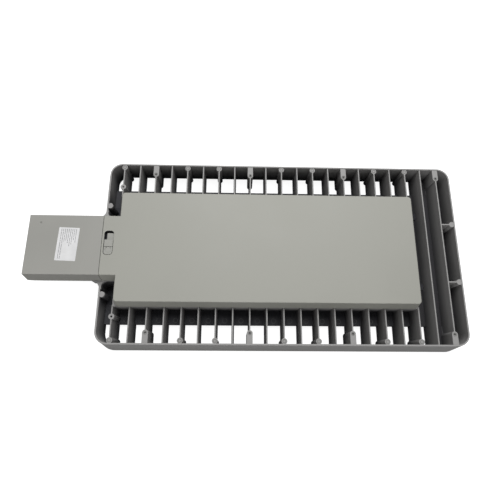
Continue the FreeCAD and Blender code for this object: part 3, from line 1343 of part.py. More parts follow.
doc.recompute()
for item in doc.Objects:
    if "Invalid" in item.State or "Error" in item.State:
        raise RuntimeError(f"{item.Label} did not build: {item.State}")
os.makedirs("parts", exist_ok=True)
for piece in pieces:
    if piece.Shape.isNull() or not piece.Shape.isValid():
        raise RuntimeError(f"{piece.Label} has no valid shape")
    piece.Shape.exportStep(os.path.join("parts", piece.Label + ".step"))
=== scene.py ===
import bmesh
import bpy
import numpy as np
from mathutils import Euler, Matrix, Vector


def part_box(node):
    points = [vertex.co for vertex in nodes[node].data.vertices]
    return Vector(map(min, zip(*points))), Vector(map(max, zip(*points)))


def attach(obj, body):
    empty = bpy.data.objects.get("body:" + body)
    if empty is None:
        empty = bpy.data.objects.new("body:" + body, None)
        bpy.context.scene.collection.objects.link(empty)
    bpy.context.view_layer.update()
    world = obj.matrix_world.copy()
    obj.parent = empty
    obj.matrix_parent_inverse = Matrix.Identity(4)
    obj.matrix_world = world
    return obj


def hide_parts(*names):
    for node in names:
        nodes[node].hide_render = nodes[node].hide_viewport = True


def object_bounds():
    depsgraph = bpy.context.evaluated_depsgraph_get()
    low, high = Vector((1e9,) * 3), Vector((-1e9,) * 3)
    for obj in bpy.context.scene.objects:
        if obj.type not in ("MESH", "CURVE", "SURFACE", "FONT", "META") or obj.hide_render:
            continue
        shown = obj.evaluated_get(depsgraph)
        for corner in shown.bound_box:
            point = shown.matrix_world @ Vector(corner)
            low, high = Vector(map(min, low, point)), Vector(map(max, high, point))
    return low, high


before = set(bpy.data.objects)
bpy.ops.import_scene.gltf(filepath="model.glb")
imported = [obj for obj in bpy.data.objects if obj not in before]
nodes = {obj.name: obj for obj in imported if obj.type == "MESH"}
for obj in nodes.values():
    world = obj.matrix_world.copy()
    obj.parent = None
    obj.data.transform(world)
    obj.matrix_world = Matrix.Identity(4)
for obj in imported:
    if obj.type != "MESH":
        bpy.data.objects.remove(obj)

cad_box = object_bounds()


# Studio: the camera stands above the head, a little to its near side. A large soft lamp hangs
# overhead, and a weaker one fills the near sides. The head stands on a pale floor that glows to
# the eye, so that only its shadow shows.

camera_place = Vector((0.3332, -0.1922, 0.6729))
camera_turns = Euler(np.radians((15.95935, -1.69676, 0.21932)))
camera_data = bpy.data.cameras.new("photo_camera")
camera_data.sensor_width = 36.0
camera_data.lens = 30.70
camera_data.clip_start = 0.01
camera_data.clip_end = 30.0
camera = bpy.data.objects.new("photo_camera", camera_data)
camera.matrix_world = Matrix.LocRotScale(camera_place, camera_turns, None)
bpy.context.collection.objects.link(camera)
bpy.context.scene.camera = camera
bpy.context.scene.view_settings.view_transform = "Standard"

lit_point = (0.35, 0.0, 0.0)


def add_lamp(name, place, size, power):
    """A square soft lamp at a place, turned to look at the middle of the head."""
    data = bpy.data.lights.new(name, "AREA")
    data.shape = "SQUARE"
    data.size = size
    data.energy = power
    lamp = bpy.data.objects.new(name, data)
    back = np.array(place) - np.array(lit_point)
    back /= np.linalg.norm(back)
    side = np.cross((0.0, 1.0, 0.0), back)
    side /= np.linalg.norm(side)
    turn = np.stack([side, np.cross(back, side), back, np.array(place)], axis=1)
    lamp.matrix_world = Matrix(np.vstack([turn, (0.0, 0.0, 0.0, 1.0)]).tolist())
    bpy.context.collection.objects.link(lamp)


add_lamp("top_lamp", place=(0.50, 1.05, 2.10), size=1.5, power=46.0)
add_lamp("near_lamp", place=(0.25, -2.10, 0.75), size=1.2, power=11.5)

air_light = 0.20
air_seen = 1.0
world = bpy.data.worlds.new("studio_air")
bpy.context.scene.world = world
world.use_nodes = True
air = world.node_tree
air.nodes.clear()
air_rays = air.nodes.new("ShaderNodeLightPath")
air_level = air.nodes.new("ShaderNodeMix")
air_level.data_type = "FLOAT"
air_level.inputs["A"].default_value = air_light
air_level.inputs["B"].default_value = air_seen
air_glow = air.nodes.new("ShaderNodeBackground")
air_glow.inputs["Color"].default_value = (1.0, 1.0, 1.0, 1.0)
air_out = air.nodes.new("ShaderNodeOutputWorld")
air.links.new(air_rays.outputs["Is Camera Ray"], air_level.inputs["Factor"])
air.links.new(air_level.outputs["Result"], air_glow.inputs["Strength"])
air.links.new(air_glow.outputs["Background"], air_out.inputs["Surface"])

floor_albedo = 0.40
floor_glow_seen = 0.93
floor_reach = 6.0
floor_level = cad_box[0][2]
floor_mesh = bpy.data.meshes.new("studio_floor")
floor_mesh.from_pydata([(floor_reach * x, floor_reach * y, floor_level)
                        for x, y in ((-1, -1), (1, -1), (1, 1), (-1, 1))], [], [(0, 1, 2, 3)])
floor = bpy.data.objects.new("studio_floor", floor_mesh)
bpy.context.collection.objects.link(floor)
floor_paint = bpy.data.materials.new("studio_floor")
floor_paint.use_nodes = True
floor_tree = floor_paint.node_tree
floor_tree.nodes.clear()
floor_rays = floor_tree.nodes.new("ShaderNodeLightPath")
floor_seen = floor_tree.nodes.new("ShaderNodeMath")
floor_seen.operation = "MAXIMUM"
floor_strength = floor_tree.nodes.new("ShaderNodeMath")
floor_strength.operation = "MULTIPLY"
floor_strength.inputs[1].default_value = floor_glow_seen
floor_glow = floor_tree.nodes.new("ShaderNodeEmission")
floor_matt = floor_tree.nodes.new("ShaderNodeBsdfDiffuse")
floor_matt.inputs["Color"].default_value = (floor_albedo, floor_albedo, floor_albedo, 1.0)
floor_sum = floor_tree.nodes.new("ShaderNodeAddShader")
floor_out = floor_tree.nodes.new("ShaderNodeOutputMaterial")
for output, target in (
        (floor_rays.outputs["Is Camera Ray"], floor_seen.inputs[0]),
        (floor_rays.outputs["Is Transmission Ray"], floor_seen.inputs[1]),
        (floor_seen.outputs["Value"], floor_strength.inputs[0]),
        (floor_strength.outputs["Value"], floor_glow.inputs["Strength"]),
        (floor_glow.outputs["Emission"], floor_sum.inputs[0]),
        (floor_matt.outputs["BSDF"], floor_sum.inputs[1]),
        (floor_sum.outputs["Shader"], floor_out.inputs["Surface"])):
    floor_tree.links.new(output, target)
floor_mesh.materials.append(floor_paint)


# Arm: a hollow aluminium die casting with a plate screwed over its open underside. Both have a
# coat of fine grey powder, which is matt, a little uneven in tone, and rounds every edge softly.

cloud_detail = 4.0
grain_detail = 2.0
edge_rays = 8


def noise(tree, place, cells, detail):
    """Noise of so many cells to the metre over a place."""
    texture = tree.nodes.new("ShaderNodeTexNoise")
    texture.inputs["Scale"].default_value = cells
    texture.inputs["Detail"].default_value = detail
    tree.links.new(place, texture.inputs["Vector"])
    return texture.outputs["Fac"]


def spread(tree, value, low, high, start=0.36, end=0.64):
    """A value stretched so that start becomes low and end becomes high, and kept between them.
    The start and end that aren't given are those of noise."""
    ramp = tree.nodes.new("ShaderNodeMapRange")
    for name, number in (("From Min", start), ("From Max", end), ("To Min", low), ("To Max", high)):
        ramp.inputs[name].default_value = number
    tree.links.new(value, ramp.inputs["Value"])
    return ramp.outputs["Result"]


def blend_of(tree, factor, first, second):
    """A colour as far from the first to the second as the factor says. Each is a colour or a
    socket."""
    mix = tree.nodes.new("ShaderNodeMix")
    mix.data_type = "RGBA"
    colour_sockets = [socket for socket in mix.inputs if socket.type == "RGBA"]
    for socket, colour in zip(colour_sockets, (first, second)):
        if isinstance(colour, tuple):
            socket.default_value = (*colour, 1.0)
        else:
            tree.links.new(colour, socket)
    tree.links.new(factor, mix.inputs["Factor"])
    return [socket for socket in mix.outputs if socket.type == "RGBA"][0]


def new_material(name):
    """A material with its tree, its surface shader and the piece's own coordinates."""
    material = bpy.data.materials.new(name)
    material.use_nodes = True
    tree = material.node_tree
    place = tree.nodes.new("ShaderNodeTexCoord").outputs["Object"]
    return material, tree, tree.nodes["Principled BSDF"], place


def grain_normal(tree, place, cells, height, soft_edge=0.0):
    """A fine grain of so many cells to the metre and that height, on edges that look rounded
    to the soft edge's radius."""
    bump = tree.nodes.new("ShaderNodeBump")
    bump.inputs["Distance"].default_value = height
    tree.links.new(noise(tree, place, cells, grain_detail), bump.inputs["Height"])
    if soft_edge:
        edge = tree.nodes.new("ShaderNodeBevel")
        edge.samples = edge_rays
        edge.inputs["Radius"].default_value = soft_edge
        tree.links.new(edge.outputs["Normal"], bump.inputs["Normal"])
    return bump.outputs["Normal"]


def finish(name, dark, pale, cells, rough, grain, height, metal=0.0, soft_edge=0.0):
    """A solid finish: two tones in cloudy patches, roughness that follows them, a fine grain."""
    material, tree, surface, place = new_material(name)
    cloud = noise(tree, place, cells, cloud_detail)
    tree.links.new(blend_of(tree, spread(tree, cloud, 0.0, 1.0), dark, pale),
                   surface.inputs["Base Color"])
    tree.links.new(spread(tree, cloud, *rough), surface.inputs["Roughness"])
    tree.links.new(grain_normal(tree, place, grain, height, soft_edge), surface.inputs["Normal"])
    surface.inputs["Metallic"].default_value = metal
    return material


coat_cells = 8.0
coat_rough = (0.48, 0.60)
coat_grain = 1500.0
coat_grain_height = 0.00005
coat_edge = 0.0007


def powder(name, dark, pale):
    """The coat of powder between two tones."""
    return finish(name, dark, pale, cells=coat_cells, rough=coat_rough, grain=coat_grain,
                  height=coat_grain_height, soft_edge=coat_edge)


def give(material, *names):
    """Nodes of the frame take the material in all their slots."""
    for name in names:
        mesh = nodes[name].data
        if not mesh.materials:
            mesh.materials.append(material)
        for number in range(len(mesh.materials)):
            mesh.materials[number] = material


arm_powder = powder("arm_powder_coat", dark=(0.341, 0.338, 0.314), pale=(0.364, 0.361, 0.335))
give(arm_powder, "arm", "arm_cover_plate")


# Housing and cover: each is one aluminium die casting with a coat of grey powder. Between the fins,
# in the first bay, at the hinge and in the latch's slot the colour is painted dark as shade,
# deepening downwards; the deep floors, the hinge and the slot are darker still, darkest past the
# cover's end, and all these surfaces are rougher. The outside, the inside of the driver's box and
# the underside have no painted shade.

cover_dark = (0.362, 0.362, 0.324)
cover_pale = (0.388, 0.388, 0.348)
housing_tone = (0.338, 0.333, 0.328)
# Painted shade: these tones stand in for the shade on the walls between the fins, on the deep
# floors, past the cover's end, at the hinge and in the latch's slot.
wall_shade_tone = (0.070, 0.071, 0.076)
deep_floor_shade_tone = (0.040, 0.041, 0.049)
end_floor_shade_tone = (0.014, 0.014, 0.018)
rougher_in_shade = 0.34
shade_depths = (-0.040, -0.012)
cover_foot = 0.0003
cover_end = 0.620
rim_start = 0.113
rim_end = 0.700
rim_side = 0.15225
rim_corner = 0.020
rim_lean = 0.132
rim_skin = (0.0008, 0.0014)
box_ends = (0.1405, 0.619)
box_side = 0.0905
neck_ends = (0.121, 0.1406)
neck_side = 0.0495
hinge_ends = (0.6245, 0.633)
hinge_side = 0.073
hinge_top = 0.0065
slot_ends = (0.1202, 0.1354)
slot_sides = (-0.0163, 0.0235)
slot_heights = (0.010, 0.0217)
first_bay = (0.1130, 0.1345)
first_bay_sides = (0.085, 0.112)
first_bay_depths = (-0.008, -0.0012)
floor_side = 0.1165
floor_upper = -0.030
floor_lower = -0.0395
faces_up = 0.7
faces_down = -0.5


def calc(tree, operation, first, second=0.0):
    """One step of arithmetic on sockets or numbers."""
    step = tree.nodes.new("ShaderNodeMath")
    step.operation = operation
    for socket, value in zip(step.inputs, (first, second)):
        if isinstance(value, float):
            socket.default_value = value
        else:
            tree.links.new(value, socket)
    return step.outputs["Value"]


def below(tree, value, limit):
    """One where the value is under a limit, and nought elsewhere."""
    return calc(tree, "LESS_THAN", value, limit)


def above(tree, value, limit):
    """One where the value is over a limit, and nought elsewhere."""
    return calc(tree, "GREATER_THAN", value, limit)


def all_of(tree, first, *others):
    """The product of masks, which is one where all of them are."""
    for other in others:
        first = calc(tree, "MULTIPLY", first, other)
    return first


def any_of(tree, first, *others):
    """The largest of masks, which is one where any of them is."""
    for other in others:
        first = calc(tree, "MAXIMUM", first, other)
    return first


def between(tree, value, ends):
    """One where the value lies between two ends, and nought elsewhere."""
    return all_of(tree, above(tree, value, ends[0]), below(tree, value, ends[1]))


def split(tree, vector):
    """The X, Y and Z of a vector."""
    parts = tree.nodes.new("ShaderNodeSeparateXYZ")
    tree.links.new(vector, parts.inputs["Vector"])
    return parts.outputs["X"], parts.outputs["Y"], parts.outputs["Z"]


def up_share(tree):
    """How much a surface faces up, from one for a level top to minus one for a level bottom."""
    return split(tree, tree.nodes["Texture Coordinate"].outputs["Normal"])[2]


def past_corner(tree, x, y):
    """The distance past a corner: the root of the sum of both squares, each value being at
    least nought."""
    x = calc(tree, "MAXIMUM", x, 0.0)
    y = calc(tree, "MAXIMUM", y, 0.0)
    return calc(tree, "SQRT", calc(tree, "ADD", calc(tree, "MULTIPLY", x, x),
                                   calc(tree, "MULTIPLY", y, y)))


def depth_in_rim(tree, x, y, z):
    """How far a point is inside the rim's leaning outside: the distance to a rectangle with
    round corners, which grows by the lean for each metre down."""
    off_middle = calc(tree, "ABSOLUTE", calc(tree, "SUBTRACT", x, (rim_start + rim_end) / 2))
    out_x = calc(tree, "SUBTRACT", off_middle, (rim_end - rim_start) / 2 - rim_corner)
    out_y = calc(tree, "SUBTRACT", calc(tree, "ABSOLUTE", y), rim_side - rim_corner)
    within = calc(tree, "MINIMUM", calc(tree, "MAXIMUM", out_x, out_y), 0.0)
    outward = calc(tree, "ADD", past_corner(tree, out_x, out_y), within)
    level = calc(tree, "SUBTRACT", rim_corner, outward)
    return calc(tree, "SUBTRACT", level, calc(tree, "MULTIPLY", z, rim_lean))


housing_coat_and_shade, tree, surface, place = new_material("housing_coat_and_shade")
x, y, z = split(tree, place)
side = calc(tree, "ABSOLUTE", y)
facing_up = up_share(tree)
inside_rim = spread(tree, depth_in_rim(tree, x, y, z), 0.0, 1.0, *rim_skin)
below_tops = spread(tree, z, 1.0, 0.0, *shade_depths)
in_first_bay = all_of(tree, between(tree, x, first_bay),
                      spread(tree, side, 1.0, 0.0, *first_bay_sides),
                      spread(tree, z, 1.0, 0.0, *first_bay_depths))
in_box = all_of(tree, between(tree, x, box_ends), below(tree, side, box_side))
in_neck = all_of(tree, between(tree, x, neck_ends), below(tree, side, neck_side))
under_floor = all_of(tree, below(tree, side, floor_side), below(tree, z, floor_lower))
no_painted_shade = any_of(tree, in_box, in_neck, under_floor, below(tree, facing_up, faces_down))
# Painted shade between the fins and in the first bay, growing with depth; the box, the neck, the
# underside and faces turned down are left out.
between_fins = all_of(tree, inside_rim, any_of(tree, below_tops, in_first_bay),
                      calc(tree, "SUBTRACT", 1.0, no_painted_shade))
at_hinge = all_of(tree, between(tree, x, hinge_ends), below(tree, side, hinge_side),
                  below(tree, z, hinge_top))
in_slot = all_of(tree, between(tree, x, slot_ends), between(tree, y, slot_sides),
                 between(tree, z, slot_heights))
# Painted shade mask: the fins' bays, the hinge and the latch's slot; it also makes them rougher.
painted_shade = any_of(tree, between_fins, at_hinge, in_slot)
cloud = noise(tree, place, coat_cells, cloud_detail)
cover_coat = blend_of(tree, spread(tree, cloud, 0.0, 1.0), cover_dark, cover_pale)
full_coat = blend_of(tree, below(tree, z, cover_foot), cover_coat, housing_tone)
on_floor = all_of(tree, above(tree, facing_up, faces_up), below(tree, z, floor_upper))
darkest_shade_tone = blend_of(tree, above(tree, x, cover_end), deep_floor_shade_tone, end_floor_shade_tone)
# The painted shade's tone: darker on the deep floors, at the hinge and in the slot.
painted_shade_colour = blend_of(tree, any_of(tree, on_floor, at_hinge, in_slot), wall_shade_tone, darkest_shade_tone)
tree.links.new(blend_of(tree, painted_shade, full_coat, painted_shade_colour), surface.inputs["Base Color"])
rough = spread(tree, cloud, *coat_rough)
tree.links.new(calc(tree, "ADD", rough, calc(tree, "MULTIPLY", painted_shade, rougher_in_shade)),
               surface.inputs["Roughness"])
tree.links.new(grain_normal(tree, place, coat_grain, coat_grain_height, coat_edge),
               surface.inputs["Normal"])
give(housing_coat_and_shade, "housing", "driver_cover")


# Ejector marks: each boss of the casting ends in a flat face with the faint raised ring that its
# ejector pin left, and the floor has one between each two fins. The rings are part of the
# housing's casting. The rings on the bosses are coloured darker than the coat as painted shade, and
# those on the floor lighter than the painted shade there, as painted glints.

boss_top = -0.0005
floor_top = -0.038
first_fin = 0.1365
fin_pitch = 0.027
short_boss_fins = (0, 4, 6, 10, 12, 16, 18)
long_boss_fins = (2, 8, 14, 20)
short_boss_side = 0.14605
long_boss_side = 0.13405
floor_mark_side = 0.1110
marked_bays = 19
boss_mark_radii = (0.0030, 0.0021)
floor_mark_radii = (0.0042, 0.0033)
mark_height = 0.00016
mark_steps = 28
same_place = 1e-6


def new_piece(name, points, faces, material, body, smooth=False):
    """A finished piece at the origin, made of points in the frame, riding on its body. Points
    in one place are merged, which closes its seams and poles."""
    mesh = bpy.data.meshes.new(name)
    mesh.from_pydata(np.asarray(points).tolist(), [], faces)
    shape = bmesh.new()
    shape.from_mesh(mesh)
    bmesh.ops.remove_doubles(shape, verts=shape.verts, dist=same_place)
    shape.to_mesh(mesh)
    shape.free()
    mesh.polygons.foreach_set("use_smooth", [smooth] * len(mesh.polygons))
    mesh.materials.append(material)
    mesh.validate()
    piece = bpy.data.objects.new(name, mesh)
    bpy.context.collection.objects.link(piece)
    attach(piece, body)
    return piece


def loop_faces(rings, steps, first=0):
    """Quads that join each ring of points to the next, all the way round, with the points
    numbered from first."""
    ring, step = np.meshgrid(np.arange(rings - 1), np.arange(steps), indexing="ij")
    ahead = (step + 1) % steps
    low, high = first + ring * steps, first + (ring + 1) * steps
    quads = np.stack([low + step, low + ahead, high + ahead, high + step], axis=-1)
    return quads.reshape(-1, 4).tolist()


def turned(profile, steps):
    """Rings of points about the Z axis, one for each radius and height of a profile. A radius
    is one number, or a row of numbers with one for each step round."""
    turn = np.arange(steps) * 2.0 * np.pi / steps
    radii = np.stack([np.broadcast_to(radius, steps) for radius, height in profile])
    heights = np.repeat([height for radius, height in profile], steps)
    return np.stack([(radii * np.cos(turn)).ravel(), (radii * np.sin(turn)).ravel(), heights],
                    axis=-1)


def add_marks(name, material, places, radii, top):
    """Flat rings about places, in one piece: a rectangle between an outer and an inner radius,
    turned about each place's upright line."""
    outer, inner = radii
    ring = turned(((outer, top - mark_height), (outer, top + mark_height),
                   (inner, top + mark_height), (inner, top - mark_height),
                   (outer, top - mark_height)), mark_steps)
    middles = np.array([(x, y, 0.0) for x, y in places])
    points = (middles[:, None, :] + ring[None, :, :]).reshape(-1, 3)
    faces = []
    for number in range(len(places)):
        faces += loop_faces(len(ring) // mark_steps, mark_steps, number * len(ring))
    new_piece(name, points, faces, material, "housing")


boss_places = []
floor_places = []
for way in (-1.0, 1.0):
    for fin in short_boss_fins:
        boss_places.append((first_fin + fin * fin_pitch, way * short_boss_side))
    for fin in long_boss_fins:
        boss_places.append((first_fin + fin * fin_pitch, way * long_boss_side))
    for bay in range(marked_bays):
        floor_places.append((first_fin + (bay + 0.5) * fin_pitch, way * floor_mark_side))
# Painted shade on the boss rings, and painted glints on the floor rings.
ring_shade_powder = powder("ring_shade_powder_coat", dark=(0.185, 0.185, 0.175), pale=(0.225, 0.225, 0.212))
floor_glint_powder = powder("floor_glint_powder_coat", dark=(0.085, 0.085, 0.088), pale=(0.130, 0.130, 0.132))
add_marks("ejector_marks", ring_shade_powder, boss_places, boss_mark_radii, boss_top)
add_marks("floor_marks", floor_glint_powder, floor_places, floor_mark_radii, floor_top)


# Floor ends: between the last two fins the casting's floor runs on to the rim on both sides, with
# a fillet up each fin. They are part of the housing's casting.

end_bay = (0.6512, 0.6746)
end_sides = (0.1181, 0.1502)
end_levels = (-0.0420, -0.0384)
end_fillet = 0.0020
fillet_power = 8
fillet_steps = 25


def drawn_out(low, high, first=0):
    """The points of an outline at both ends of its way, and faces, numbered from first, that
    join the ends and close them."""
    count = len(low)
    faces = loop_faces(2, count, first)
    faces.append(list(range(first + count - 1, first - 1, -1)))
    faces.append(list(range(first + count, first + 2 * count)))
    return np.concatenate([low, high]), faces


def floor_end(sides, first=0):
    """One floor end, drawn out along Y between two sides. Its top rises from the middle of the
    bay to the fins by the fillet's height times the eighth power of the way there."""
    across = np.linspace(-1.0, 1.0, fillet_steps)
    x = (end_bay[0] + end_bay[1]) / 2.0 + across * (end_bay[1] - end_bay[0]) / 2.0
    z = end_levels[1] + end_fillet * across ** fillet_power
    x = np.append(x, [end_bay[1], end_bay[0]])
    z = np.append(z, [end_levels[0], end_levels[0]])
    low, high = [np.stack([x, np.full(len(x), y), z], axis=-1) for y in sides]
    return drawn_out(low, high, first)


far_points, far_faces = floor_end(end_sides)
near_points, near_faces = floor_end((-end_sides[1], -end_sides[0]), len(far_points))
new_piece("floor_ends", np.concatenate([far_points, near_points]), far_faces + near_faces,
          housing_coat_and_shade, "housing")


# Latch: the slider is moulded in grey plastic to match the coat; its sides and a band just below
# its pad are painted dark as shade. Its guide and its keeper are small pressed steel plates,
# coloured near-black as painted shade so that the gap round the slider stays dark. The hinge pins
# are bright, with brushed sides.

pad_rim = (0.0191, 0.0200)
pad_faces_up = 0.9
slider_shade_tone = (0.040, 0.040, 0.038)
latch_plastic = finish("latch_plastic", dark=(0.355, 0.355, 0.325), pale=(0.375, 0.375, 0.345),
                       cells=60.0, rough=(0.42, 0.50), grain=2600.0, height=0.00003,
                       soft_edge=0.0005)
tree = latch_plastic.node_tree
surface = tree.nodes["Principled BSDF"]
height = split(tree, tree.nodes["Texture Coordinate"].outputs["Object"])[2]
# Painted shade: faces that don't face up, and a band just below the pad.
slider_shade = any_of(tree, between(tree, height, pad_rim), below(tree, up_share(tree), pad_faces_up))
unshaded_grey = surface.inputs["Base Color"].links[0].from_socket
tree.links.new(blend_of(tree, slider_shade, unshaded_grey, slider_shade_tone), surface.inputs["Base Color"])
give(latch_plastic, "latch_slider")
brushed_steel = finish("brushed_steel", dark=(0.50, 0.50, 0.49), pale=(0.60, 0.60, 0.59),
                       cells=90.0, rough=(0.28, 0.40), grain=900.0, height=0.00001, metal=1.0,
                       soft_edge=0.0003)
give(brushed_steel, "hinge_pins")
# Painted shade: the near-black colour keeps the slot's gap dark.
shade_black_steel = finish("shade_black_steel", dark=(0.028, 0.028, 0.030), pale=(0.045, 0.045, 0.048),
                     cells=200.0, rough=(0.38, 0.52), grain=1500.0, height=0.00001, metal=0.6,
                     soft_edge=0.0003)
give(shade_black_steel, "latch_guide", "latch_keeper")


# Label: a white film sticker on the arm's top, cut with small round corners and stuck on a little
# askew. Rows of plain grey bars run along its long side.

label_size = (0.0323, 0.0545)
label_turn = np.radians(-1.8)
label_corner = 0.0012
corner_steps = 7
label_low, label_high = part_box("arm_label")
label_middle = (label_low + label_high) / 2.0


def on_label(x, y, height):
    """Points given from the label's middle, turned as the label lies on the arm."""
    return np.stack([label_middle.x + x * np.cos(label_turn) - y * np.sin(label_turn),
                     label_middle.y + x * np.sin(label_turn) + y * np.cos(label_turn),
                     np.full(len(x), height)], axis=-1)


label_x = []
label_y = []
for quarter, (way_x, way_y) in enumerate(((1, 1), (-1, 1), (-1, -1), (1, -1))):
    turns = (quarter + np.linspace(0.0, 1.0, corner_steps)) * np.pi / 2.0
    label_x.append(way_x * (label_size[0] / 2 - label_corner) + label_corner * np.cos(turns))
    label_y.append(way_y * (label_size[1] / 2 - label_corner) + label_corner * np.sin(turns))
label_x = np.concatenate(label_x)
label_y = np.concatenate(label_y)
points, faces = drawn_out(on_label(label_x, label_y, label_low.z),
                          on_label(label_x, label_y, label_high.z))
white_film = finish("white_film", dark=(0.77, 0.77, 0.775), pale=(0.83, 0.83, 0.835), cells=70.0,
                    rough=(0.30, 0.42), grain=500.0, height=0.00001)
label = new_piece("label_film", points, faces, white_film, "housing")
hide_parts("arm_label")

bar_margin = 0.0022
bar_start = 0.0045
bar_pitch = 0.0029
bar_width = 0.0010
bar_thickness = 0.00004
row_count = 9
full_rows = 2
short_rows = (0.018, 0.034)
bar_lengths = (0.003, 0.011)
bar_gaps = (0.0006, 0.0011)
bar_seed = 11
bar_draw = np.random.default_rng(bar_seed)
bar_points = []
bar_faces = []
for row in range(row_count):
    middle = -label_size[0] / 2 + bar_start + row * bar_pitch
    row_start = label_size[1] / 2 - bar_margin
    row_end = -row_start if row < full_rows else row_start - bar_draw.uniform(*short_rows)
    bar_high = row_start
    while bar_high > row_end:
        bar_low = max(bar_high - bar_draw.uniform(*bar_lengths), row_end)
        x = np.array([-1, 1, 1, -1]) * bar_width / 2 + middle
        y = np.array([bar_low, bar_low, bar_high, bar_high])
        points, faces = drawn_out(on_label(x, y, label_high.z - bar_thickness),
                                  on_label(x, y, label_high.z + bar_thickness),
                                  sum(len(bar) for bar in bar_points))
        bar_points.append(points)
        bar_faces += faces
        bar_high = bar_low - bar_draw.uniform(*bar_gaps)
grey_print = finish("grey_print", dark=(0.30, 0.30, 0.31), pale=(0.42, 0.42, 0.43), cells=300.0,
                    rough=(0.45, 0.55), grain=900.0, height=0.00001)
new_piece("label_bars", np.concatenate(bar_points), bar_faces, grey_print, "housing")


# Screws: all of them are stainless machine screws with a round-edged head. Those that a fitter
# turns have a six-lobed recess, and the arm's four bolts have a deep hexagon socket.

screw_steps = 36
shank_share = 0.54
tip_share = 0.75
tip_rise = 0.25
edge_share = 0.35
edge_turns = np.radians((30.0, 60.0, 90.0))
recess_share = 0.46
recess_depth_share = 0.62
lobe_share = 0.16
lip_share = 1.08
lip_drop = 0.08


def solids_of(name):
    """The lowest and highest corner of each separate solid in a node of the frame, found by
    handing the smallest number along the triangles until each solid's points share one."""
    mesh = nodes[name].data
    points = np.empty(len(mesh.vertices) * 3)
    mesh.vertices.foreach_get("co", points)
    points = points.reshape(-1, 3)
    cells = np.round(points / same_place).astype(np.int64)
    own = np.unique(cells, axis=0, return_inverse=True)[1].reshape(-1)
    corners = np.empty(len(mesh.loops), np.int64)
    mesh.loops.foreach_get("vertex_index", corners)
    triangles = own[corners].reshape(-1, 3)
    label = np.arange(own.max() + 1)
    while True:
        lowest = label[triangles].min(axis=1)
        newer = label.copy()
        np.minimum.at(newer, triangles.ravel(), np.repeat(lowest, 3))
        newer = newer[newer]
        if np.array_equal(newer, label):
            break
        label = newer
    solid = label[own]
    return [(points[solid == number].min(axis=0), points[solid == number].max(axis=0))
            for number in np.unique(solid)]


def screw(head_radius, head_height, shank_length, lobes):
    """A screw along +Z with its head's seat at zero, its profile turned about that line. The
    recess has six lobes, or six flats where there are no lobes, whose radius is the inner one
    over the cosine of the turn from the nearest flat's middle."""
    turn = np.arange(screw_steps) * 2.0 * np.pi / screw_steps
    shank = shank_share * head_radius
    recess = recess_share * head_radius
    if lobes:
        recess = recess * (1.0 + lobe_share * np.cos(6 * turn))
    else:
        sixth = np.pi / 3.0
        recess = recess / np.cos(np.mod(turn, sixth) - sixth / 2.0)
    edge = edge_share * head_height
    recess_floor = head_height - recess_depth_share * head_height
    profile = [(0.0, -shank_length), (tip_share * shank, -shank_length),
               (shank, tip_rise * shank - shank_length), (shank, 0.0), (head_radius, 0.0),
               (head_radius, head_height - edge)]
    profile += [(head_radius - edge * (1.0 - np.cos(bend)),
                 head_height - edge + edge * np.sin(bend)) for bend in edge_turns]
    profile += [(lip_share * recess, head_height), (recess, head_height - lip_drop * head_height),
                (recess, recess_floor), (0.0, recess_floor)]
    return turned(profile, screw_steps), loop_faces(len(profile), screw_steps)


def dress_screws(name, axis, way, head_height, lobes=True, body="housing"):
    """Replaces each screw of a node. The head points along the axis, 0 for X to 2 for Z, in
    the way of 1 or -1."""
    points = []
    faces = []
    across = [number for number in range(3) if number != axis]
    turned_axes = across if (axis != 1) == (way > 0) else across[::-1]
    for low, high in solids_of(name):
        head_radius = (high[across[0]] - low[across[0]]) / 2.0
        length = high[axis] - low[axis] - head_height
        one, one_faces = screw(head_radius, head_height, length, lobes)
        middle = (low + high) / 2.0
        seat = high[axis] - head_height if way > 0 else low[axis] + head_height
        placed = np.empty_like(one)
        placed[:, axis] = seat + way * one[:, 2]
        placed[:, turned_axes] = middle[turned_axes] + one[:, :2]
        faces += (np.asarray(one_faces) + sum(len(part) for part in points)).tolist()
        points.append(placed)
    piece = new_piece(name + "_detailed", np.concatenate(points), faces, screw_steel, body)
    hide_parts(name)


screw_steel = finish("screw_steel", dark=(0.44, 0.44, 0.43), pale=(0.56, 0.56, 0.55), cells=400.0,
                     rough=(0.30, 0.44), grain=2200.0, height=0.00001, metal=1.0,
                     soft_edge=0.0002)
dress_screws("lens_screws", axis=2, way=-1, head_height=0.0025)
dress_screws("equipment_screws", axis=2, way=1, head_height=0.0025)
dress_screws("arm_cover_screws", axis=2, way=-1, head_height=0.0025)
dress_screws("keeper_screws", axis=2, way=1, head_height=0.002)
dress_screws("guide_screws", axis=2, way=-1, head_height=0.002, body="driver_cover")
dress_screws("arm_bolts", axis=0, way=-1, head_height=0.005, lobes=False)


# Seals: the gaskets under the cover, the arm and the lens trays, the cable bushing and the lead's
# grommet are dark silicone rubber, moulded with a dull skin. The vent plug, the surge protector's
# case and the lead's sheath are black plastic.

module_numbers = range(1, 5)
silicone = finish("silicone_rubber", dark=(0.022, 0.022, 0.023), pale=(0.036, 0.036, 0.037),
                  cells=120.0, rough=(0.62, 0.78), grain=1800.0, height=0.00004,
                  soft_edge=0.0003)
give(silicone, "cover_gasket", "arm_gasket", "cable_bushing", "lead_grommet",
     *(f"lens_gasket_{number}" for number in module_numbers))
black_nylon = finish("black_nylon", dark=(0.030, 0.030, 0.033), pale=(0.045, 0.045, 0.049),
                     cells=150.0, rough=(0.42, 0.55), grain=2000.0, height=0.00003,
                     soft_edge=0.0004)
give(black_nylon, "vent_plug", "surge_protector", "led_lead")


# Driver and wiring: the LED driver sits in a drawn aluminium case with fine lines along its
# length. The supply comes over a pale terminal block in three insulated wires, brown, blue and
# green, which lie side by side.

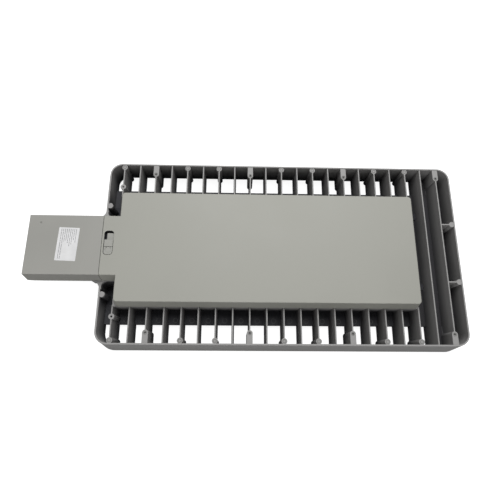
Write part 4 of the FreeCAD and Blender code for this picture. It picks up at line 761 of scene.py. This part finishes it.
case_dark = (0.52, 0.52, 0.53)
case_pale = (0.64, 0.64, 0.65)
case_rough = (0.34, 0.46)
line_stretch = (0.02, 1.0, 1.0)
driver_case, tree, surface, place = new_material("driver_case")
stretched = tree.nodes.new("ShaderNodeMapping")
stretched.inputs["Scale"].default_value = line_stretch
tree.links.new(place, stretched.inputs["Vector"])
drawn_lines = noise(tree, stretched.outputs["Vector"], cells=2400.0, detail=3.0)
tree.links.new(blend_of(tree, spread(tree, drawn_lines, 0.0, 1.0), case_dark, case_pale),
               surface.inputs["Base Color"])
tree.links.new(spread(tree, drawn_lines, *case_rough), surface.inputs["Roughness"])
tree.links.new(grain_normal(tree, place, cells=500.0, height=0.00001, soft_edge=0.0005),
               surface.inputs["Normal"])
surface.inputs["Metallic"].default_value = 1.0
give(driver_case, "led_driver")

pale_moulding = finish("pale_moulding", dark=(0.70, 0.70, 0.66), pale=(0.76, 0.76, 0.72),
                       cells=100.0, rough=(0.38, 0.50), grain=1500.0, height=0.00003,
                       soft_edge=0.0004)
give(pale_moulding, "terminal_block")

wire_sides = (0.040, 0.010)
wire_turn = 0.285
wire_bend = 0.010
wire_spacing = 0.004
wire_rough = (0.36, 0.50)
brown = (0.105, 0.045, 0.022)
blue = (0.030, 0.075, 0.30)
green = (0.10, 0.30, 0.05)


def beside_middle(tree, x, y):
    """How far a point lies beside the middle wire: the distance past the centre of the nearer
    bend less the bend's radius, with its sign changed at the second bend, which turns back."""
    first = calc(tree, "SUBTRACT",
                 past_corner(tree, calc(tree, "SUBTRACT", x, wire_turn - wire_bend),
                             calc(tree, "SUBTRACT", y, wire_sides[0] - wire_bend)), wire_bend)
    second = calc(tree, "SUBTRACT", wire_bend,
                  past_corner(tree, calc(tree, "SUBTRACT", wire_turn + wire_bend, x),
                              calc(tree, "SUBTRACT", wire_sides[1] + wire_bend, y)))
    at_first = above(tree, y, (wire_sides[0] + wire_sides[1]) / 2)
    return calc(tree, "ADD", calc(tree, "MULTIPLY", first, at_first),
                calc(tree, "MULTIPLY", second, calc(tree, "SUBTRACT", 1.0, at_first)))


wire_sheath, tree, surface, place = new_material("wire_sheath")
beside = beside_middle(tree, *split(tree, place)[:2])
first_two = blend_of(tree, above(tree, beside, -wire_spacing / 2), brown, blue)
all_three = blend_of(tree, above(tree, beside, wire_spacing / 2), first_two, green)
tree.links.new(all_three, surface.inputs["Base Color"])
tree.links.new(spread(tree, noise(tree, place, cells=200.0, detail=2.0), *wire_rough),
               surface.inputs["Roughness"])
tree.links.new(grain_normal(tree, place, cells=1500.0, height=0.00002), surface.inputs["Normal"])
give(wire_sheath, "input_wires")


# LED boards: white solder mask on aluminium, with square LED packages whose faces are pale yellow
# phosphor. The packages stand proud of the board's lower face, where their colour starts.

package_levels = (-0.0439, -0.0437)
package_yellow = (0.78, 0.62, 0.16)
mask_dark = (0.74, 0.75, 0.73)
mask_pale = (0.80, 0.81, 0.79)
mask_rough = (0.32, 0.42)
led_board, tree, surface, place = new_material("led_board")
on_package = spread(tree, split(tree, place)[2], 1.0, 0.0, *package_levels)
mask_cloud = spread(tree, noise(tree, place, cells=60.0, detail=3.0), 0.0, 1.0)
white_mask = blend_of(tree, mask_cloud, mask_dark, mask_pale)
tree.links.new(blend_of(tree, on_package, white_mask, package_yellow),
               surface.inputs["Base Color"])
tree.links.new(spread(tree, mask_cloud, *mask_rough, 0.0, 1.0), surface.inputs["Roughness"])
tree.links.new(grain_normal(tree, place, cells=900.0, height=0.00001), surface.inputs["Normal"])
give(led_board, *(f"led_board_{number}" for number in module_numbers))


# Lens trays: each is one clear polycarbonate moulding, hollow over the board, with twelve domed
# lenses in three rows of four. Each dome has a smooth outer and a smooth inner surface.

lens_columns = 3
lens_rows = 4
lens_pitch = (0.036, 0.046)
lens_radius = 0.014
lens_wall = 0.002
lens_bulge = 0.0036
dome_power = 0.6
tray_back = -0.0422
tray_front = -0.0459
tray_hollow = -0.0447
hollow_size = (0.118, 0.190)
tray_step = 0.002
tray_rough = (0.02, 0.06)

clear_plastic, tree, surface, place = new_material("clear_polycarbonate")
surface.inputs["Base Color"].default_value = (0.96, 0.97, 0.98, 1.0)
surface.inputs["IOR"].default_value = 1.585
surface.inputs["Transmission Weight"].default_value = 1.0
tree.links.new(spread(tree, noise(tree, place, cells=90.0, detail=3.0), *tray_rough),
               surface.inputs["Roughness"])
tree.links.new(grain_normal(tree, place, cells=250.0, height=0.00001), surface.inputs["Normal"])


def domes(x, y, radius):
    """The height of the domes over a grid: the bulge times one less the squared distance from
    the nearest lens's middle over the radius, to the dome's power, and nothing outside it."""
    height = np.zeros_like(x)
    for column in range(lens_columns):
        for row in range(lens_rows):
            middle_x = (column - (lens_columns - 1) / 2) * lens_pitch[0]
            middle_y = (row - (lens_rows - 1) / 2) * lens_pitch[1]
            share = ((x - middle_x) ** 2 + (y - middle_y) ** 2) / radius ** 2
            height = np.maximum(height, lens_bulge * np.clip(1.0 - share, 0.0, 1.0) ** dome_power)
    return height


for number in module_numbers:
    low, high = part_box(f"lens_tray_{number}")
    middle = (low + high) / 2.0
    half = (high - low) / 2.0
    across = np.linspace(-half.x, half.x, int(round(2 * half.x / tray_step)) + 1)
    along = np.linspace(-half.y, half.y, int(round(2 * half.y / tray_step)) + 1)
    x, y = np.meshgrid(across, along, indexing="ij")
    outer = tray_front - domes(x, y, lens_radius)
    in_hollow = (np.abs(x) < hollow_size[0] / 2) & (np.abs(y) < hollow_size[1] / 2)
    inner = np.where(in_hollow, tray_hollow - domes(x, y, lens_radius - lens_wall), tray_back)
    points = np.concatenate([
        np.stack([x + middle.x, y + middle.y, z], axis=-1).reshape(-1, 3) for z in (outer, inner)])
    index = np.arange(x.size).reshape(x.shape)
    cells = np.stack([index[:-1, :-1], index[:-1, 1:], index[1:, 1:], index[1:, :-1]], axis=-1)
    cells = cells.reshape(-1, 4)
    border = np.concatenate([index[:-1, 0], index[-1, :-1], index[:0:-1, -1], index[0, :0:-1]])
    ahead = np.roll(border, -1)
    rim = np.stack([border, ahead, ahead + x.size, border + x.size], axis=-1)
    faces = np.concatenate([cells, cells[:, ::-1] + x.size, rim]).tolist()
    tray = new_piece(f"lens_optics_{number}", points, faces, clear_plastic, "housing",
                     smooth=True)
    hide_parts(f"lens_tray_{number}")
